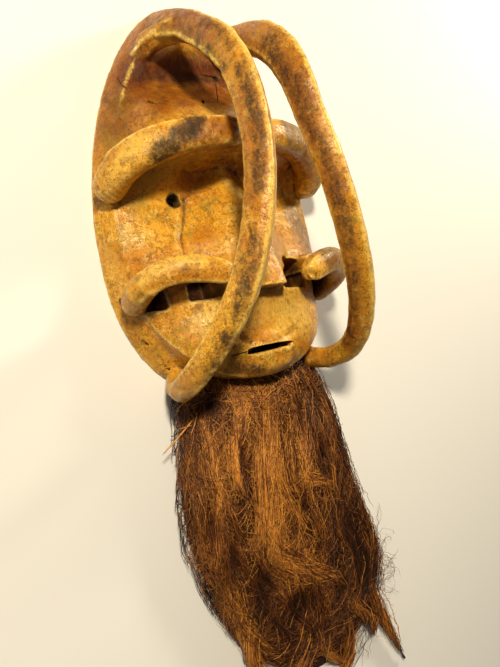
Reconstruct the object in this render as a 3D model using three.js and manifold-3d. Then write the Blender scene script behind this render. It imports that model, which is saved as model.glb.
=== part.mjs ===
// A carved wooden face mask with two long horns and a fibre beard, lying on its back.
// Millimetres. +Z is the way the face looks, +Y is towards the forehead, and the back rim lies on z = 0.
import * as THREE from 'three';
import { mergeVertices } from 'three/addons/utils/BufferGeometryUtils.js';
import Module from 'manifold-3d';

const wasm = await Module();
wasm.setup();

// Driving sizes of the carving, measured from the middle of the mask's height
const TOP_Y = 180;
const CHIN_Y = -180;
const WIDEST_Y = -35;
const HALF_WIDTH = 111.5;
const UPPER_OVAL = { rise: 1.8, round: 0.6 };
const LOWER_OVAL = { rise: 2.6, round: 0.465 };
const RIM_HEIGHT = 19;
const WALL = 11;
const RECESS_FLOOR = 14;
const EYE = { x: 46, y: -7, radius: 5 };
const MOUTH = { y: -144, halfWidth: 24, halfHeight: 2.4, taper: 4 };
const LIPS = { y: -145, z: 47, halfWidth: 34, halfHeight: 25, depth: 20 };
const LACING_HOLE = { radius: 1.8, z: 12, ys: [-90, -123, -148] };

// Clear gap between the wood and the beard
const GAP = 0.35;

// The nose runs from its root to just above the muzzle's ledge
const NOSE_ROOT_Y = 40;
const NOSE_TIP_Y = -94.5;
const MUZZLE_TOP_Y = -96;

// The part's origin is in the middle of the rim's flat back, at the top of the forehead
const ORIGIN_Y = TOP_Y - 5.5;

// Cuts through the face start below its back and end above its front
const BEHIND_FACE = -30;
const ABOVE_FACE = 120;

const clamp01 = (value) => Math.min(1, Math.max(0, value));
const mix = (from, to, share) => from + (to - from) * share;

function ramp(low, high, value) {
  const share = clamp01((value - low) / (high - low));
  return share * share * (3 - 2 * share);
}

// Reads a smooth value off a short list of [place, value] stations
function along(stations, place) {
  const last = stations.length - 1;
  if (place <= stations[0][0]) return stations[0][1];
  if (place >= stations[last][0]) return stations[last][1];
  const next = stations.findIndex((station) => station[0] > place);
  const [a, from] = stations[next - 1];
  const [b, to] = stations[next];
  return mix(from, to, (place - a) / (b - a));
}

// Outline of the face: an egg whose two halves have their own roundness

function ovalHalf(y) {
  const upper = y > WIDEST_Y;
  const reach = upper ? TOP_Y - WIDEST_Y : WIDEST_Y - CHIN_Y;
  return { share: Math.abs(y - WIDEST_Y) / reach, reach, ...(upper ? UPPER_OVAL : LOWER_OVAL) };
}

function outlineLevel(x, y) {
  const { share, rise, round } = ovalHalf(y);
  return Math.pow(Math.abs(x) / HALF_WIDTH, 1 / round) + Math.pow(share, rise);
}

// Distance inwards from the outline, to first order
function edgeDistance(x, y) {
  const step = 0.5;
  const across = (outlineLevel(Math.abs(x) + step, y) - outlineLevel(Math.max(0, Math.abs(x) - step), y)) / 2;
  const up = (outlineLevel(x, y + step) - outlineLevel(x, y - step)) / 2;
  return ((1 - outlineLevel(x, y)) * step) / Math.max(1e-4, Math.hypot(across, up));
}

function outlinePoints(inset, count) {
  const points = [];
  for (let i = 0; i < count; i += 1) {
    const angle = (i / count) * 2 * Math.PI;
    const upper = Math.sin(angle) >= 0;
    const { rise, round } = upper ? UPPER_OVAL : LOWER_OVAL;
    const reach = (upper ? TOP_Y : -CHIN_Y) - (upper ? WIDEST_Y : -WIDEST_Y) - inset;
    const sine = Math.abs(Math.sin(angle));
    const cosine = Math.abs(Math.cos(angle));
    const x = (HALF_WIDTH - inset) * Math.pow(cosine, 2 * round) * Math.sign(Math.cos(angle));
    const y = WIDEST_Y + reach * Math.pow(sine, 2 / rise) * (upper ? 1 : -1);
    points.push(new THREE.Vector2(Math.abs(x) < 1e-6 ? 0 : x, y));
  }
  return points;
}

// Heights of the front of the face above the back rim

const BROW_SHELF = [[0, 72], [25, 70], [46, 64], [67, 54], [85, 42], [97, 26], [106, 16]];
const NOSE_RIDGE = [[-96, 84], [-78, 80], [-50, 73], [-19, 63], [5, 48], [29, 34], [40, 30]];
const NOSE_TOP_HALF = [[-96, 13], [-50, 10], [-19, 7], [29, 1.5]];
const NOSE_BASE_HALF = [[-96, 25], [-74, 40], [-52, 53], [-9, 34], [29, 20]];
const MUZZLE_RISE = [[-179, 0], [-175, 20], [-169, 32], [-150, 42], [-125, 46], [-96, 47]];

function halfWidthAt(y) {
  const { share, rise, round } = ovalHalf(y);
  return HALF_WIDTH * Math.pow(clamp01(1 - Math.pow(share, rise)), round);
}

function cheekHeight(x, y) {
  const share = clamp01((-3 - y) / 63);
  const rise = mix(7, 33, Math.pow(share, 1.2));
  return RIM_HEIGHT + rise * (1 - Math.pow(clamp01(x / (halfWidthAt(y) - 9)), mix(3, 4.5, share)));
}

function noseHeight(x, y) {
  const ridge = along(NOSE_RIDGE, y);
  const top = along(NOSE_TOP_HALF, y);
  const base = along(NOSE_BASE_HALF, y);
  const foot = cheekHeight(base, y);
  return ridge - ((ridge - foot) * Math.max(0, x - top)) / (base - top);
}

function muzzleHeight(x, y) {
  const corner = ramp(-100, -145, y);
  const side = clamp01(x / Math.max(8, halfWidthAt(y) - mix(10, 2, corner)));
  return 18 + along(MUZZLE_RISE, y) * Math.pow(1 - Math.pow(side, mix(1.7, 2.8, corner)), 0.65);
}

function foreheadHeight(x, y) {
  const crestInset = mix(30, 9, clamp01(x / 62));
  const crest = mix(26, RIM_HEIGHT, ramp(45, 100, x));
  const floor = mix(14, along(BROW_SHELF, x), Math.pow(ramp(118, 40, y), 1.3));
  const inward = edgeDistance(x, y) - crestInset;
  return mix(crest, floor, ramp(-3, 24, inward));
}

function socketHeight(x, y) {
  const top = along(BROW_SHELF, x) * mix(0.45, 0.7, ramp(30, 55, x)) + 14 * ramp(78, 96, x);
  const base = cheekHeight(x, y);
  return mix(base, top, clamp01((y + 6) / 24));
}

// The face without its nose, and with it
function plateHeight(px, y) {
  const x = Math.abs(px);
  if (y > 17) return foreheadHeight(x, y);
  if (y > -6) return socketHeight(x, y);
  if (y > MUZZLE_TOP_Y) return cheekHeight(x, y);
  return muzzleHeight(x, y);
}

function faceHeight(x, y) {
  const onNose = y > MUZZLE_TOP_Y && y < NOSE_ROOT_Y && Math.abs(x) < along(NOSE_BASE_HALF, y);
  return onNose ? Math.max(noseHeight(Math.abs(x), y), plateHeight(x, y)) : plateHeight(x, y);
}

// Solids

function toSolid(geometry) {
  const bare = geometry.index ? geometry.clone() : geometry;
  bare.deleteAttribute('normal');
  bare.deleteAttribute('uv');
  const merged = mergeVertices(bare, 1e-3);
  const mesh = new wasm.Mesh({
    numProp: 3,
    vertProperties: new Float32Array(merged.attributes.position.array),
    triVerts: new Uint32Array(merged.index.array),
  });
  return new wasm.Manifold(mesh);
}

function toGeometry(solid) {
  const mesh = solid.getMesh();
  const geometry = new THREE.BufferGeometry();
  geometry.setAttribute('position', new THREE.BufferAttribute(new Float32Array(mesh.vertProperties), 3));
  geometry.setIndex(new THREE.BufferAttribute(new Uint32Array(mesh.triVerts), 1));
  return geometry;
}

// Closed body through rings of points that run anticlockwise seen from the far end
function loft(rings) {
  const count = rings[0].length;
  const positions = rings.flat().flatMap((point) => [point.x, point.y, point.z]);
  const index = [];
  for (let r = 0; r + 1 < rings.length; r += 1) {
    for (let i = 0; i < count; i += 1) {
      const a = r * count + i;
      const b = r * count + ((i + 1) % count);
      index.push(a, b, b + count, a, b + count, a + count);
    }
  }
  for (const [ring, isFirst] of [[0, true], [rings.length - 1, false]]) {
    const middle = new THREE.Vector3();
    for (const point of rings[ring]) middle.addScaledVector(point, 1 / count);
    const hub = positions.length / 3;
    positions.push(middle.x, middle.y, middle.z);
    for (let i = 0; i < count; i += 1) {
      const a = ring * count + i;
      const b = ring * count + ((i + 1) % count);
      index.push(hub, isFirst ? b : a, isFirst ? a : b);
    }
  }
  const geometry = new THREE.BufferGeometry();
  geometry.setAttribute('position', new THREE.Float32BufferAttribute(positions, 3));
  geometry.setIndex(index);
  return toSolid(geometry);
}

// Block under a height function. Its grid narrows with the outline, and shares run from -1 to 1 across it.
function heightBlock(shares, ys, bottom, height) {
  const rows = ys.map((y) => shares.map((share) => {
    const x = share * Math.max(30, halfWidthAt(y) + 4);
    return new THREE.Vector3(x, y, Math.max(bottom + 0.5, height(x, y)));
  }));
  const positions = [];
  const index = [];
  const columns = shares.length;
  const lift = columns * ys.length;
  for (const row of rows) for (const point of row) positions.push(point.x, point.y, point.z);
  for (const row of rows) for (const point of row) positions.push(point.x, point.y, bottom);
  for (let r = 0; r + 1 < ys.length; r += 1) {
    for (let c = 0; c + 1 < columns; c += 1) {
      const a = r * columns + c;
      const [b, d, e] = [a + 1, a + columns, a + columns + 1];
      index.push(a, b, e, a, e, d, a + lift, e + lift, b + lift, a + lift, d + lift, e + lift);
    }
  }
  const border = [];
  for (let c = 0; c + 1 < columns; c += 1) border.push(c);
  for (let r = 0; r + 1 < ys.length; r += 1) border.push(r * columns + columns - 1);
  for (let c = columns - 1; c > 0; c -= 1) border.push((ys.length - 1) * columns + c);
  for (let r = ys.length - 1; r > 0; r -= 1) border.push(r * columns);
  border.forEach((a, i) => {
    const b = border[(i + 1) % border.length];
    index.push(a, a + lift, b + lift, a, b + lift, b);
  });
  const geometry = new THREE.BufferGeometry();
  geometry.setAttribute('position', new THREE.Float32BufferAttribute(positions, 3));
  geometry.setIndex(index);
  return toSolid(geometry);
}

function steps(from, to, count) {
  return Array.from({ length: count + 1 }, (_, i) => mix(from, to, i / count));
}

function outlineStack(levels, count) {
  return loft(levels.map(([z, inset]) => {
    const ring = outlinePoints(inset, count);
    return ring.map((point) => new THREE.Vector3(point.x, point.y, z));
  }));
}

const ALONG_X = new THREE.Vector3(1, 0, 0);
const ALONG_Z = new THREE.Vector3(0, 0, 1);
// Square to the plane in which the brow and cheek arcs bend
const OFF_ARC = new THREE.Vector3(0, 0.85, -0.5).normalize();

// Round-ended limb along a smooth centre line. Each station is [x, y, z, half size, half size]:
// the first size is measured towards the given direction, and the second one square to it.
function limb(stations, towards, sides, count, grow = 0) {
  const centre = new THREE.CatmullRomCurve3(stations.map(([x, y, z]) => new THREE.Vector3(x, y, z)));
  const halves = stations.map(([, , , first, second]) => new THREE.Vector3(first, second, 0));
  const sizes = new THREE.CatmullRomCurve3(halves);
  const rings = [];
  const tip = [0.45, 0.85];
  const place = (u, end, scale) => {
    const t = centre.getUtoTmapping(u);
    const size = sizes.getPoint(t).addScalar(grow);
    const tangent = centre.getTangent(t);
    const first = towards.clone().addScaledVector(tangent, -towards.dot(tangent)).normalize();
    const second = new THREE.Vector3().crossVectors(tangent, first);
    const at = centre.getPoint(t).addScaledVector(tangent, end * size.x * Math.sqrt(1 - scale * scale));
    rings.push(Array.from({ length: sides }, (_, k) => {
      const angle = (k / sides) * 2 * Math.PI;
      const point = at.clone().addScaledVector(first, size.x * scale * Math.cos(angle));
      return point.addScaledVector(second, size.y * scale * Math.sin(angle));
    }));
  };
  tip.forEach((scale) => place(0, -0.8, scale));
  for (let i = 0; i <= count; i += 1) place(i / count, 0, 1);
  [...tip].reverse().forEach((scale) => place(1, 0.8, scale));
  return loft(rings);
}

const onLeft = (stations) => stations.map(([x, ...rest]) => [-x, ...rest]);
const turned = (corners) => onLeft(corners).reverse();

// Carving

// The horns run from the top rim over the face to the jaw corners
const HORN_ROD = [
  [32, 0, 136, 12, 12],
  [40.2, -40, 135.6, 12, 12],
  [48.5, -70, 131, 12, 12],
  [59, -101, 121, 12, 11.5],
  [70, -125, 106, 11.5, 11],
  [79, -146, 86, 11, 10.5],
  [83.5, -158, 65, 10.5, 10.5],
  [81, -164, 45, 10.5, 10.5],
  [75, -163, 27, 10.5, 10.5],
  [67, -153, 12, 8.5, 8.5],
];

const LEFT_HORN = [
  [27, 153, 4, 12, 12],
  [27, 149.5, 23, 12, 12],
  [27, 138.6, 45.8, 12, 12.5],
  [26.5, 125.8, 65.6, 12, 13],
  [26, 110.9, 83, 12, 13.5],
  [26, 96.3, 99.4, 12, 14],
  [26, 81.2, 112.3, 12, 14.4],
  [26, 67.5, 119.2, 12, 14.2],
  [26, 49.3, 125.3, 12, 13.6],
  [27.5, 28, 130, 12, 12.8],
  ...HORN_ROD,
];

const RIGHT_HORN = [
  [27, 144, 9, 12, 12],
  [28, 137, 29, 12, 12.5],
  [28.5, 130, 48, 12, 12.5],
  [29, 121, 68, 12, 13.5],
  [29, 110, 88, 12, 15],
  [28.5, 94.5, 104.5, 12, 16],
  [28, 77, 116.5, 12, 16],
  [27, 55, 125.5, 12, 14.5],
  [28, 28, 131, 12, 12.8],
  ...HORN_ROD,
];

// Each horn grows out of the rim, and the flare between them carries the rim's crest up the horn
const LEFT_FLARE = [
  [57, 109, 10, 6, 6],
  [54, 118, 15, 8, 8],
  [47, 127, 22, 9.5, 9.5],
  [38, 133, 35, 11, 11],
  [29, 130, 56, 12, 12],
];

const RIGHT_FLARE = [
  [57, 106, 10, 6, 6],
  [54, 114, 15, 7.5, 7.5],
  [47, 122, 22, 9, 9],
  [38, 127, 37, 11, 11],
  [30, 122, 60, 12, 12],
];

const BROW_ARC = [
  [16, 30, 84, 12.5, 12.5],
  [28, 30.5, 81.5, 13.5, 13.5],
  [46, 30.5, 75, 14, 13.5],
  [67, 28.5, 65, 15, 14],
  [86, 22.5, 53, 16, 14.5],
  [99.5, 12.5, 39, 15.5, 14.5],
  [103, 4, 25, 13.5, 13.5],
];

// The two cheek arcs were carved by eye and differ a little
const LEFT_CHEEK_ARC = [
  [44, -80, 78, 10, 10],
  [60, -75, 73, 11.5, 11.5],
  [80, -73, 66, 11.5, 11.5],
  [95, -77, 55, 11.5, 11.5],
  [102, -85, 40, 11.5, 11.5],
  [98, -90, 22, 11, 11],
];

const RIGHT_CHEEK_ARC = [
  [44, -86, 79, 10, 10],
  [60, -80, 74, 11.5, 11.5],
  [80, -76, 67, 11.5, 11.5],
  [96, -80, 56, 11.5, 11.5],
  [103, -90, 40, 11.5, 11.5],
  [97, -99, 22, 11, 11],
];

function prism(corners, low, high) {
  const shape = new THREE.Shape(corners.map(([x, y]) => new THREE.Vector2(x, y)));
  const geometry = new THREE.ExtrudeGeometry(shape, { depth: high - low, bevelEnabled: false });
  return toSolid(geometry.translate(0, 0, low));
}

function drill(x, y, radius) {
  const geometry = new THREE.CylinderGeometry(radius, radius, ABOVE_FACE - BEHIND_FACE, 12);
  return toSolid(geometry.rotateX(Math.PI / 2).translate(x, y, (ABOVE_FACE + BEHIND_FACE) / 2));
}

// Lacing hole through the side of the rim, square to the outline
function sideHole(side, y) {
  const x = halfWidthAt(y);
  const turn = Math.atan2(halfWidthAt(y - 1) - halfWidthAt(y + 1), 2);
  const geometry = new THREE.CylinderGeometry(LACING_HOLE.radius, LACING_HOLE.radius, 40, 8);
  geometry.rotateZ(Math.PI / 2 + turn).translate(x, y, LACING_HOLE.z);
  const hole = toSolid(geometry);
  return side > 0 ? hole : hole.mirror([1, 0, 0]);
}

function lips() {
  const geometry = new THREE.SphereGeometry(1, 18, 10);
  return toSolid(geometry.scale(LIPS.halfWidth, LIPS.halfHeight, LIPS.depth).translate(0, LIPS.y, LIPS.z));
}

function mouthSlit() {
  const { y, halfWidth, halfHeight, taper } = MOUTH;
  const half = [[halfWidth, y], [halfWidth - taper, y + halfHeight]];
  const upper = [...half, ...onLeft(half).reverse()];
  const lower = [[taper - halfWidth, y - halfHeight], [halfWidth - taper, y - halfHeight]];
  return prism([...upper, ...lower], BEHIND_FACE, ABOVE_FACE);
}

function nose() {
  const rings = steps(NOSE_TIP_Y, NOSE_ROOT_Y, 12).map((y) => {
    const top = along(NOSE_TOP_HALF, y);
    const base = along(NOSE_BASE_HALF, y);
    const ridge = along(NOSE_RIDGE, y);
    const foot = cheekHeight(base, y) - 1;
    const half = [[base, foot - 9], [base, foot], [top, ridge - 1], [top * 0.5, ridge]];
    return [...onLeft(half), ...half.reverse()].map(([x, z]) => new THREE.Vector3(x, y, z));
  });
  return loft(rings);
}

// The hollow keeps a wall behind the lowest place of the face near each point
function hollowHeight(x, y) {
  const reach = 9;
  const underRecess = y < -58 && y > -104 && Math.abs(x) > 18;
  let lowest = Math.min(faceHeight(x, y), underRecess ? RECESS_FLOOR : ABOVE_FACE);
  for (let angle = 0; angle < 2 * Math.PI; angle += Math.PI / 4) {
    lowest = Math.min(lowest, faceHeight(x + reach * Math.cos(angle), y + reach * Math.sin(angle)));
  }
  return lowest - WALL;
}

function belowFloor() {
  const reach = 700;
  return prism([[-reach, -reach], [reach, -reach], [reach, reach], [-reach, reach]], -reach, 0);
}

const LEFT_RECESSES = [
  [[27, -96], [62, -96], [61, -71], [36, -67.5], [29, -69]],
  [[76, -99], [93, -98], [97, -86], [80, -78]],
];
const RIGHT_RECESSES = [
  [[27, -96], [50, -96], [62, -98], [61, -71], [36, -67.5], [29, -69]],
  [[76, -103], [90, -107], [96, -92], [80, -78]],
];

// Pushes an outline's corners away from its middle, so that the hollow keeps a wall beside a recess
function grown(corners, reach) {
  const middle = corners.reduce((sum, [x, y]) => sum.add(new THREE.Vector2(x, y)), new THREE.Vector2());
  middle.divideScalar(corners.length);
  return corners.map(([x, y]) => {
    const out = new THREE.Vector2(x, y).sub(middle);
    return out.setLength(out.length() + reach).add(middle).toArray();
  });
}

// Insets by height: of the rim's outer side, and of the hollow behind the face
const RIM_SIDE = [[BEHIND_FACE, 0], [3, 0], [11, 4], [16, 7.5], [19, 10], [23, 12], [ABOVE_FACE, 13]];
const HOLLOW_SIDE = [[BEHIND_FACE, 11], [8, 12.5], [20, 20], [60, 29], [ABOVE_FACE, 29]];

// Wood between each cheek arc and the pillar under it
const CHEEK_WEB = [[58, -69], [58, -82], [84, -80], [98, -90], [104, -82], [96, -70], [80, -66]];

function carving() {
  const muzzleYs = steps(0, 1, 11).map((share) => mix(-183, MUZZLE_TOP_Y - 0.1, Math.pow(share, 1.5)));
  const cheekYs = steps(MUZZLE_TOP_Y, -6, 8);
  const ys = [...muzzleYs, ...cheekYs, ...steps(-0.5, 16.8, 2), ...steps(17, 186, 18)];
  const plate = heightBlock(steps(-1, 1, 26), ys, 0, plateHeight);
  let hollow = heightBlock(steps(-1, 1, 14), steps(-172, 172, 22), BEHIND_FACE, hollowHeight);
  for (const recess of [...LEFT_RECESSES.map(turned), ...RIGHT_RECESSES]) {
    hollow = hollow.subtract(prism(grown(recess, WALL), RECESS_FLOOR - WALL, ABOVE_FACE));
  }
  let solid = plate.add(nose()).add(lips()).intersect(outlineStack(RIM_SIDE, 48));
  for (const recess of LEFT_RECESSES) solid = solid.subtract(prism(turned(recess), RECESS_FLOOR, ABOVE_FACE));
  for (const recess of RIGHT_RECESSES) solid = solid.subtract(prism(recess, RECESS_FLOOR, ABOVE_FACE));
  for (const web of [CHEEK_WEB, turned(CHEEK_WEB)]) solid = solid.add(prism(web, 16, 60));
  for (const arc of [BROW_ARC, onLeft(BROW_ARC)]) solid = solid.add(limb(arc, OFF_ARC, 12, 10));
  for (const arc of [RIGHT_CHEEK_ARC, onLeft(LEFT_CHEEK_ARC)]) solid = solid.add(limb(arc, OFF_ARC, 12, 9));
  for (const horn of [RIGHT_HORN, onLeft(LEFT_HORN)]) solid = solid.add(limb(horn, ALONG_X, 12, 26));
  for (const flare of [RIGHT_FLARE, onLeft(LEFT_FLARE)]) solid = solid.add(limb(flare, ALONG_Z, 10, 4));
  solid = solid.subtract(hollow.intersect(outlineStack(HOLLOW_SIDE, 32))).subtract(belowFloor());
  solid = solid.subtract(mouthSlit());
  for (const x of [EYE.x, -EYE.x]) solid = solid.subtract(drill(x, EYE.y, EYE.radius));
  for (const side of [-1, 1]) for (const y of LACING_HOLE.ys) solid = solid.subtract(sideHole(side, y));
  return solid;
}

// Beard: a flat, wide bundle of fibre from the chin to its loose ends, lying on its back

// Stations down the beard: [y, left edge, right edge, thickness]
const BEARD = [
  [-150, -64, 74, 26],
  [-180, -72, 88, 35],
  [-215, -78, 97, 38],
  [-260, -86, 104, 37],
  [-300, -85, 112, 34],
  [-335, -75, 121, 30],
  [-365, -64, 128, 26],
  [-390, -48, 120, 22],
  [-412, -30, 102, 18],
  [-432, -6, 82, 14],
  [-450, 20, 62, 8],
];

// Loose locks at the end, with half their thickness and half their width
const LOCKS = [
  [[92, -370, 9, 9, 22], [106, -415, 8, 8, 16], [121, -452, 7, 6, 10], [137, -486, 5, 4, 5]],
  [[58, -395, 9, 9, 22], [66, -432, 7, 7, 16], [58, -462, 6, 5, 10], [40, -478, 5, 3, 5]],
  [[8, -380, 9, 9, 20], [8, -420, 7, 6, 14], [-4, -450, 5, 3, 6]],
  [[-42, -345, 9, 9, 16], [-46, -385, 7, 7, 12], [-38, -418, 6, 5, 8], [-20, -440, 5, 3, 5]],
];

function beardStation(y) {
  return [1, 2, 3].map((column) => along([...BEARD].reverse().map((row) => [row[0], row[column]]), y));
}

function beardBody() {
  const across = 18;
  const rows = 17;
  const rings = [];
  for (let r = 0; r <= rows; r += 1) {
    const y = mix(BEARD[0][0], BEARD[BEARD.length - 1][0], r / rows);
    const [left, right, thickness] = beardStation(y);
    const ring = [];
    for (let i = 0; i <= across; i += 1) {
      const share = mix(1, -1, i / across);
      const wideLocks = 0.09 * Math.cos(share * 15 + Math.sin(y / 34) * 1.1);
      const fineLocks = 0.05 * Math.cos(share * 31 - y / 27);
      const crown = Math.sqrt(Math.max(0, 1 - share ** 2)) * (0.86 + wideLocks + fineLocks);
      ring.push(new THREE.Vector3(mix(left, right, (share + 1) / 2), y, 4 + (thickness - 4) * crown));
    }
    for (let i = 0; i <= across; i += across / 2) {
      const share = mix(-1, 1, i / across);
      ring.push(new THREE.Vector3(mix(left, right, (share * 0.97 + 1) / 2), y, 0));
    }
    rings.push(ring);
  }
  return loft(rings);
}

function beard() {
  let solid = beardBody();
  for (const lock of LOCKS) solid = solid.add(limb(lock, ALONG_Z, 8, 5));
  solid = solid.subtract(belowFloor()).subtract(outlineStack([[BEHIND_FACE, -GAP], [ABOVE_FACE, -GAP]], 48));
  for (const horn of [RIGHT_HORN, onLeft(LEFT_HORN)]) {
    solid = solid.subtract(limb(horn, ALONG_X, 12, 26, GAP));
  }
  return solid;
}

function named(name, solid, color) {
  const material = new THREE.MeshStandardMaterial({ color, roughness: 0.55, metalness: 0 });
  const mesh = new THREE.Mesh(toGeometry(solid), material);
  mesh.name = name;
  mesh.position.y = -ORIGIN_Y;
  return mesh;
}

const mask = new THREE.Group();
mask.add(named('mask_carving', carving(), 0xb8741f));
mask.add(named('fibre_beard', beard(), 0x6a3a1c));

export default mask;
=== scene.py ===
"""Horned face mask with a fibre beard, lying on its back.

The carving is a softened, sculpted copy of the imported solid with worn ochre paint, and the beard is a
bundle of several thousand separate strands. Places are given in millimetres from the middle of the
carving: +X to the right of the face, +Y to the forehead, +Z the way the face looks.
"""
import logging
import math
from dataclasses import dataclass, field, replace
from enum import Enum

import bpy
import numpy as np
from mathutils import Matrix, Vector
from mathutils.bvhtree import BVHTree
from mathutils.kdtree import KDTree


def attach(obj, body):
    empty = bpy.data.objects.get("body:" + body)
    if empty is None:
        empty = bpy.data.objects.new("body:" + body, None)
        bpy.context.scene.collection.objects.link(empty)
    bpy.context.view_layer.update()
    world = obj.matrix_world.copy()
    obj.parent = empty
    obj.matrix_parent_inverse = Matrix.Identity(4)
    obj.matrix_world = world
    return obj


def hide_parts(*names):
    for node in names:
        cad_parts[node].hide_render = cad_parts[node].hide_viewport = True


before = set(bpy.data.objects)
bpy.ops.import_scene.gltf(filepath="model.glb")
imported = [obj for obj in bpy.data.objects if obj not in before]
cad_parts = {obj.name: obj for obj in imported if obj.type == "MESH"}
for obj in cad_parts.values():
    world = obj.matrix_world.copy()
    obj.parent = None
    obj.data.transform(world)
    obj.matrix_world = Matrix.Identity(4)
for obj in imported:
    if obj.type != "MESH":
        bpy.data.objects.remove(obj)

log = logging.getLogger("horned_mask")

BODY = "root"
MILLIMETRE = 0.001
# The frame's origin is at the top of the back rim, this far above the middle of the carving
ORIGIN_Y = 174.5

Point = tuple[float, float, float]
Station = tuple[float, float]
# Points, half thicknesses and tones of some strands
Group = tuple[np.ndarray, np.ndarray, np.ndarray]


class Slot(Enum):
    """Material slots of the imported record."""

    WOOD = "carved_wood"
    FIBRE = "plant_fibre"


class Tint(Enum):
    """Painted masks that the carving's mesh carries for its finish."""

    WEAR = "wear_and_highlight"
    CAVITY = "cavity"
    SOOT = "soot_and_shade"
    AGE = "age"
    RUST = "rust_and_shade"
    OLIVE = "olive"
    CHALK = "chalk"


def place(point: Point) -> Vector:
    """Returns a point of the mask, given in millimetres, as metres in the shared frame."""
    x, y, z = point
    return Vector((x, y - ORIGIN_Y, z)) * MILLIMETRE


def ease(low: float, high: float, value: np.ndarray) -> np.ndarray:
    """Returns a smooth step from 0 at low to 1 at high."""
    share = np.clip((value - low) / (high - low), 0.0, 1.0)
    return share * share * (3.0 - 2.0 * share)


def bell(distance: np.ndarray, width: float) -> np.ndarray:
    """Returns 1 at no distance, falling off smoothly over the width."""
    return np.exp(-((distance / width) ** 2))


def smooth_path(points: list[Point], count: int) -> np.ndarray:
    """Returns points along a smooth line through a few stations.

    Args:
        points: Stations in millimetres, with any number of columns.
        count: How many points come back, spread evenly over the stations.

    Returns:
        An array with a row for each point.
    """
    knots = np.array([points[0], *points, points[-1]], float)
    places = np.linspace(0.0, len(points) - 1 - 1e-6, count)
    first = places.astype(int)
    t = (places - first)[:, None]
    a, b, c, d = (knots[first + k] for k in range(4))
    return 0.5 * (2 * b + (c - a) * t + (2 * a - 5 * b + 4 * c - d) * t**2 + (3 * b - a - 3 * c + d) * t**3)


def mirrored(points: tuple[Point, ...]) -> tuple[Point, ...]:
    """Returns stations on the other side of the face."""
    return tuple((-x, y, z) for x, y, z in points)


def deselect() -> None:
    """Leaves nothing selected or active."""
    bpy.ops.object.select_all(action="DESELECT")
    bpy.context.view_layer.objects.active = None


def select_only(obj: bpy.types.Object) -> None:
    """Makes one object the only selected and active one.

    Args:
        obj: The object.
    """
    deselect()
    obj.select_set(True)
    bpy.context.view_layer.objects.active = obj


def apply_modifiers(obj: bpy.types.Object) -> None:
    """Applies every modifier of an object, first to last.

    Args:
        obj: The object.
    """
    select_only(obj)
    for modifier in list(obj.modifiers):
        bpy.ops.object.modifier_apply(modifier=modifier.name)


def join(name: str, objects: list[bpy.types.Object]) -> bpy.types.Object:
    """Joins objects into one.

    Args:
        name: The joined object's name.
        objects: The objects, of which the first stays.

    Returns:
        The joined object.
    """
    deselect()
    for obj in objects:
        obj.select_set(True)
    bpy.context.view_layer.objects.active = objects[0]
    bpy.ops.object.join()
    objects[0].name = name
    objects[0].data.name = name
    return objects[0]


def solid_copy(node: str, name: str) -> bpy.types.Object:
    """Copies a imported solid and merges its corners.

    Args:
        node: The solid's name in the frame.
        name: The copy's name.

    Returns:
        The copy, an object of its own.
    """
    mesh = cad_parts[node].data.copy()
    mesh.name = name
    mesh.materials.clear()
    copy = bpy.data.objects.new(name, mesh)
    bpy.context.scene.collection.objects.link(copy)
    select_only(copy)
    bpy.ops.mesh.customdata_custom_splitnormals_clear()
    bpy.ops.object.mode_set(mode="EDIT")
    bpy.ops.mesh.select_all(action="SELECT")
    bpy.ops.mesh.remove_doubles(threshold=0.01 * MILLIMETRE)
    bpy.ops.object.mode_set(mode="OBJECT")
    return copy


def closed_prism(name: str, rings: np.ndarray) -> bpy.types.Object:
    """Makes a closed solid through rings of corners, for use as a cutter.

    Args:
        name: The object's name.
        rings: Ring, corner and coordinate in millimetres.

    Returns:
        The object, with its faces turned outwards.
    """
    count, corners = rings.shape[:2]
    points = rings.reshape(-1, 3).copy()
    points[:, 1] -= ORIGIN_Y
    faces = [tuple(range(corners)), tuple((count - 1) * corners + k for k in range(corners))]
    for i in range(count - 1):
        for k in range(corners):
            here, beside = i * corners + k, i * corners + (k + 1) % corners
            faces.append((here, beside, beside + corners, here + corners))
    mesh = bpy.data.meshes.new(name)
    mesh.from_pydata((points * MILLIMETRE).tolist(), [], faces)
    prism = bpy.data.objects.new(name, mesh)
    bpy.context.scene.collection.objects.link(prism)
    select_only(prism)
    bpy.ops.object.mode_set(mode="EDIT")
    bpy.ops.mesh.select_all(action="SELECT")
    bpy.ops.mesh.normals_make_consistent(inside=False)
    bpy.ops.object.mode_set(mode="OBJECT")
    return prism


def triangle_count(mesh: bpy.types.Mesh) -> int:
    """Returns how many triangles a mesh's faces make."""
    return len(mesh.loops) - 2 * len(mesh.polygons)


def points_of(mesh: bpy.types.Mesh) -> np.ndarray:
    """Reads a mesh's vertices.

    Args:
        mesh: The mesh.

    Returns:
        A row for each vertex, in millimetres from the carving's middle.
    """
    flat = np.zeros(len(mesh.vertices) * 3, np.float32)
    mesh.vertices.foreach_get("co", flat)
    points = flat.reshape(-1, 3).astype(float) / MILLIMETRE
    points[:, 1] += ORIGIN_Y
    return points


def normals_of(mesh: bpy.types.Mesh) -> np.ndarray:
    """Reads a mesh's normals.

    Args:
        mesh: The mesh.

    Returns:
        A row for each vertex.
    """
    flat = np.zeros(len(mesh.vertices) * 3, np.float32)
    mesh.vertex_normals.foreach_get("vector", flat)
    return flat.reshape(-1, 3).astype(float)


def move_points(mesh: bpy.types.Mesh, points: np.ndarray) -> None:
    """Writes vertices back.

    Args:
        mesh: The mesh.
        points: A row for each vertex, in millimetres as points_of gives them.
    """
    places = points.copy()
    places[:, 1] -= ORIGIN_Y
    mesh.vertices.foreach_set("co", (places * MILLIMETRE).astype(np.float32).ravel())
    mesh.update()


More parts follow.
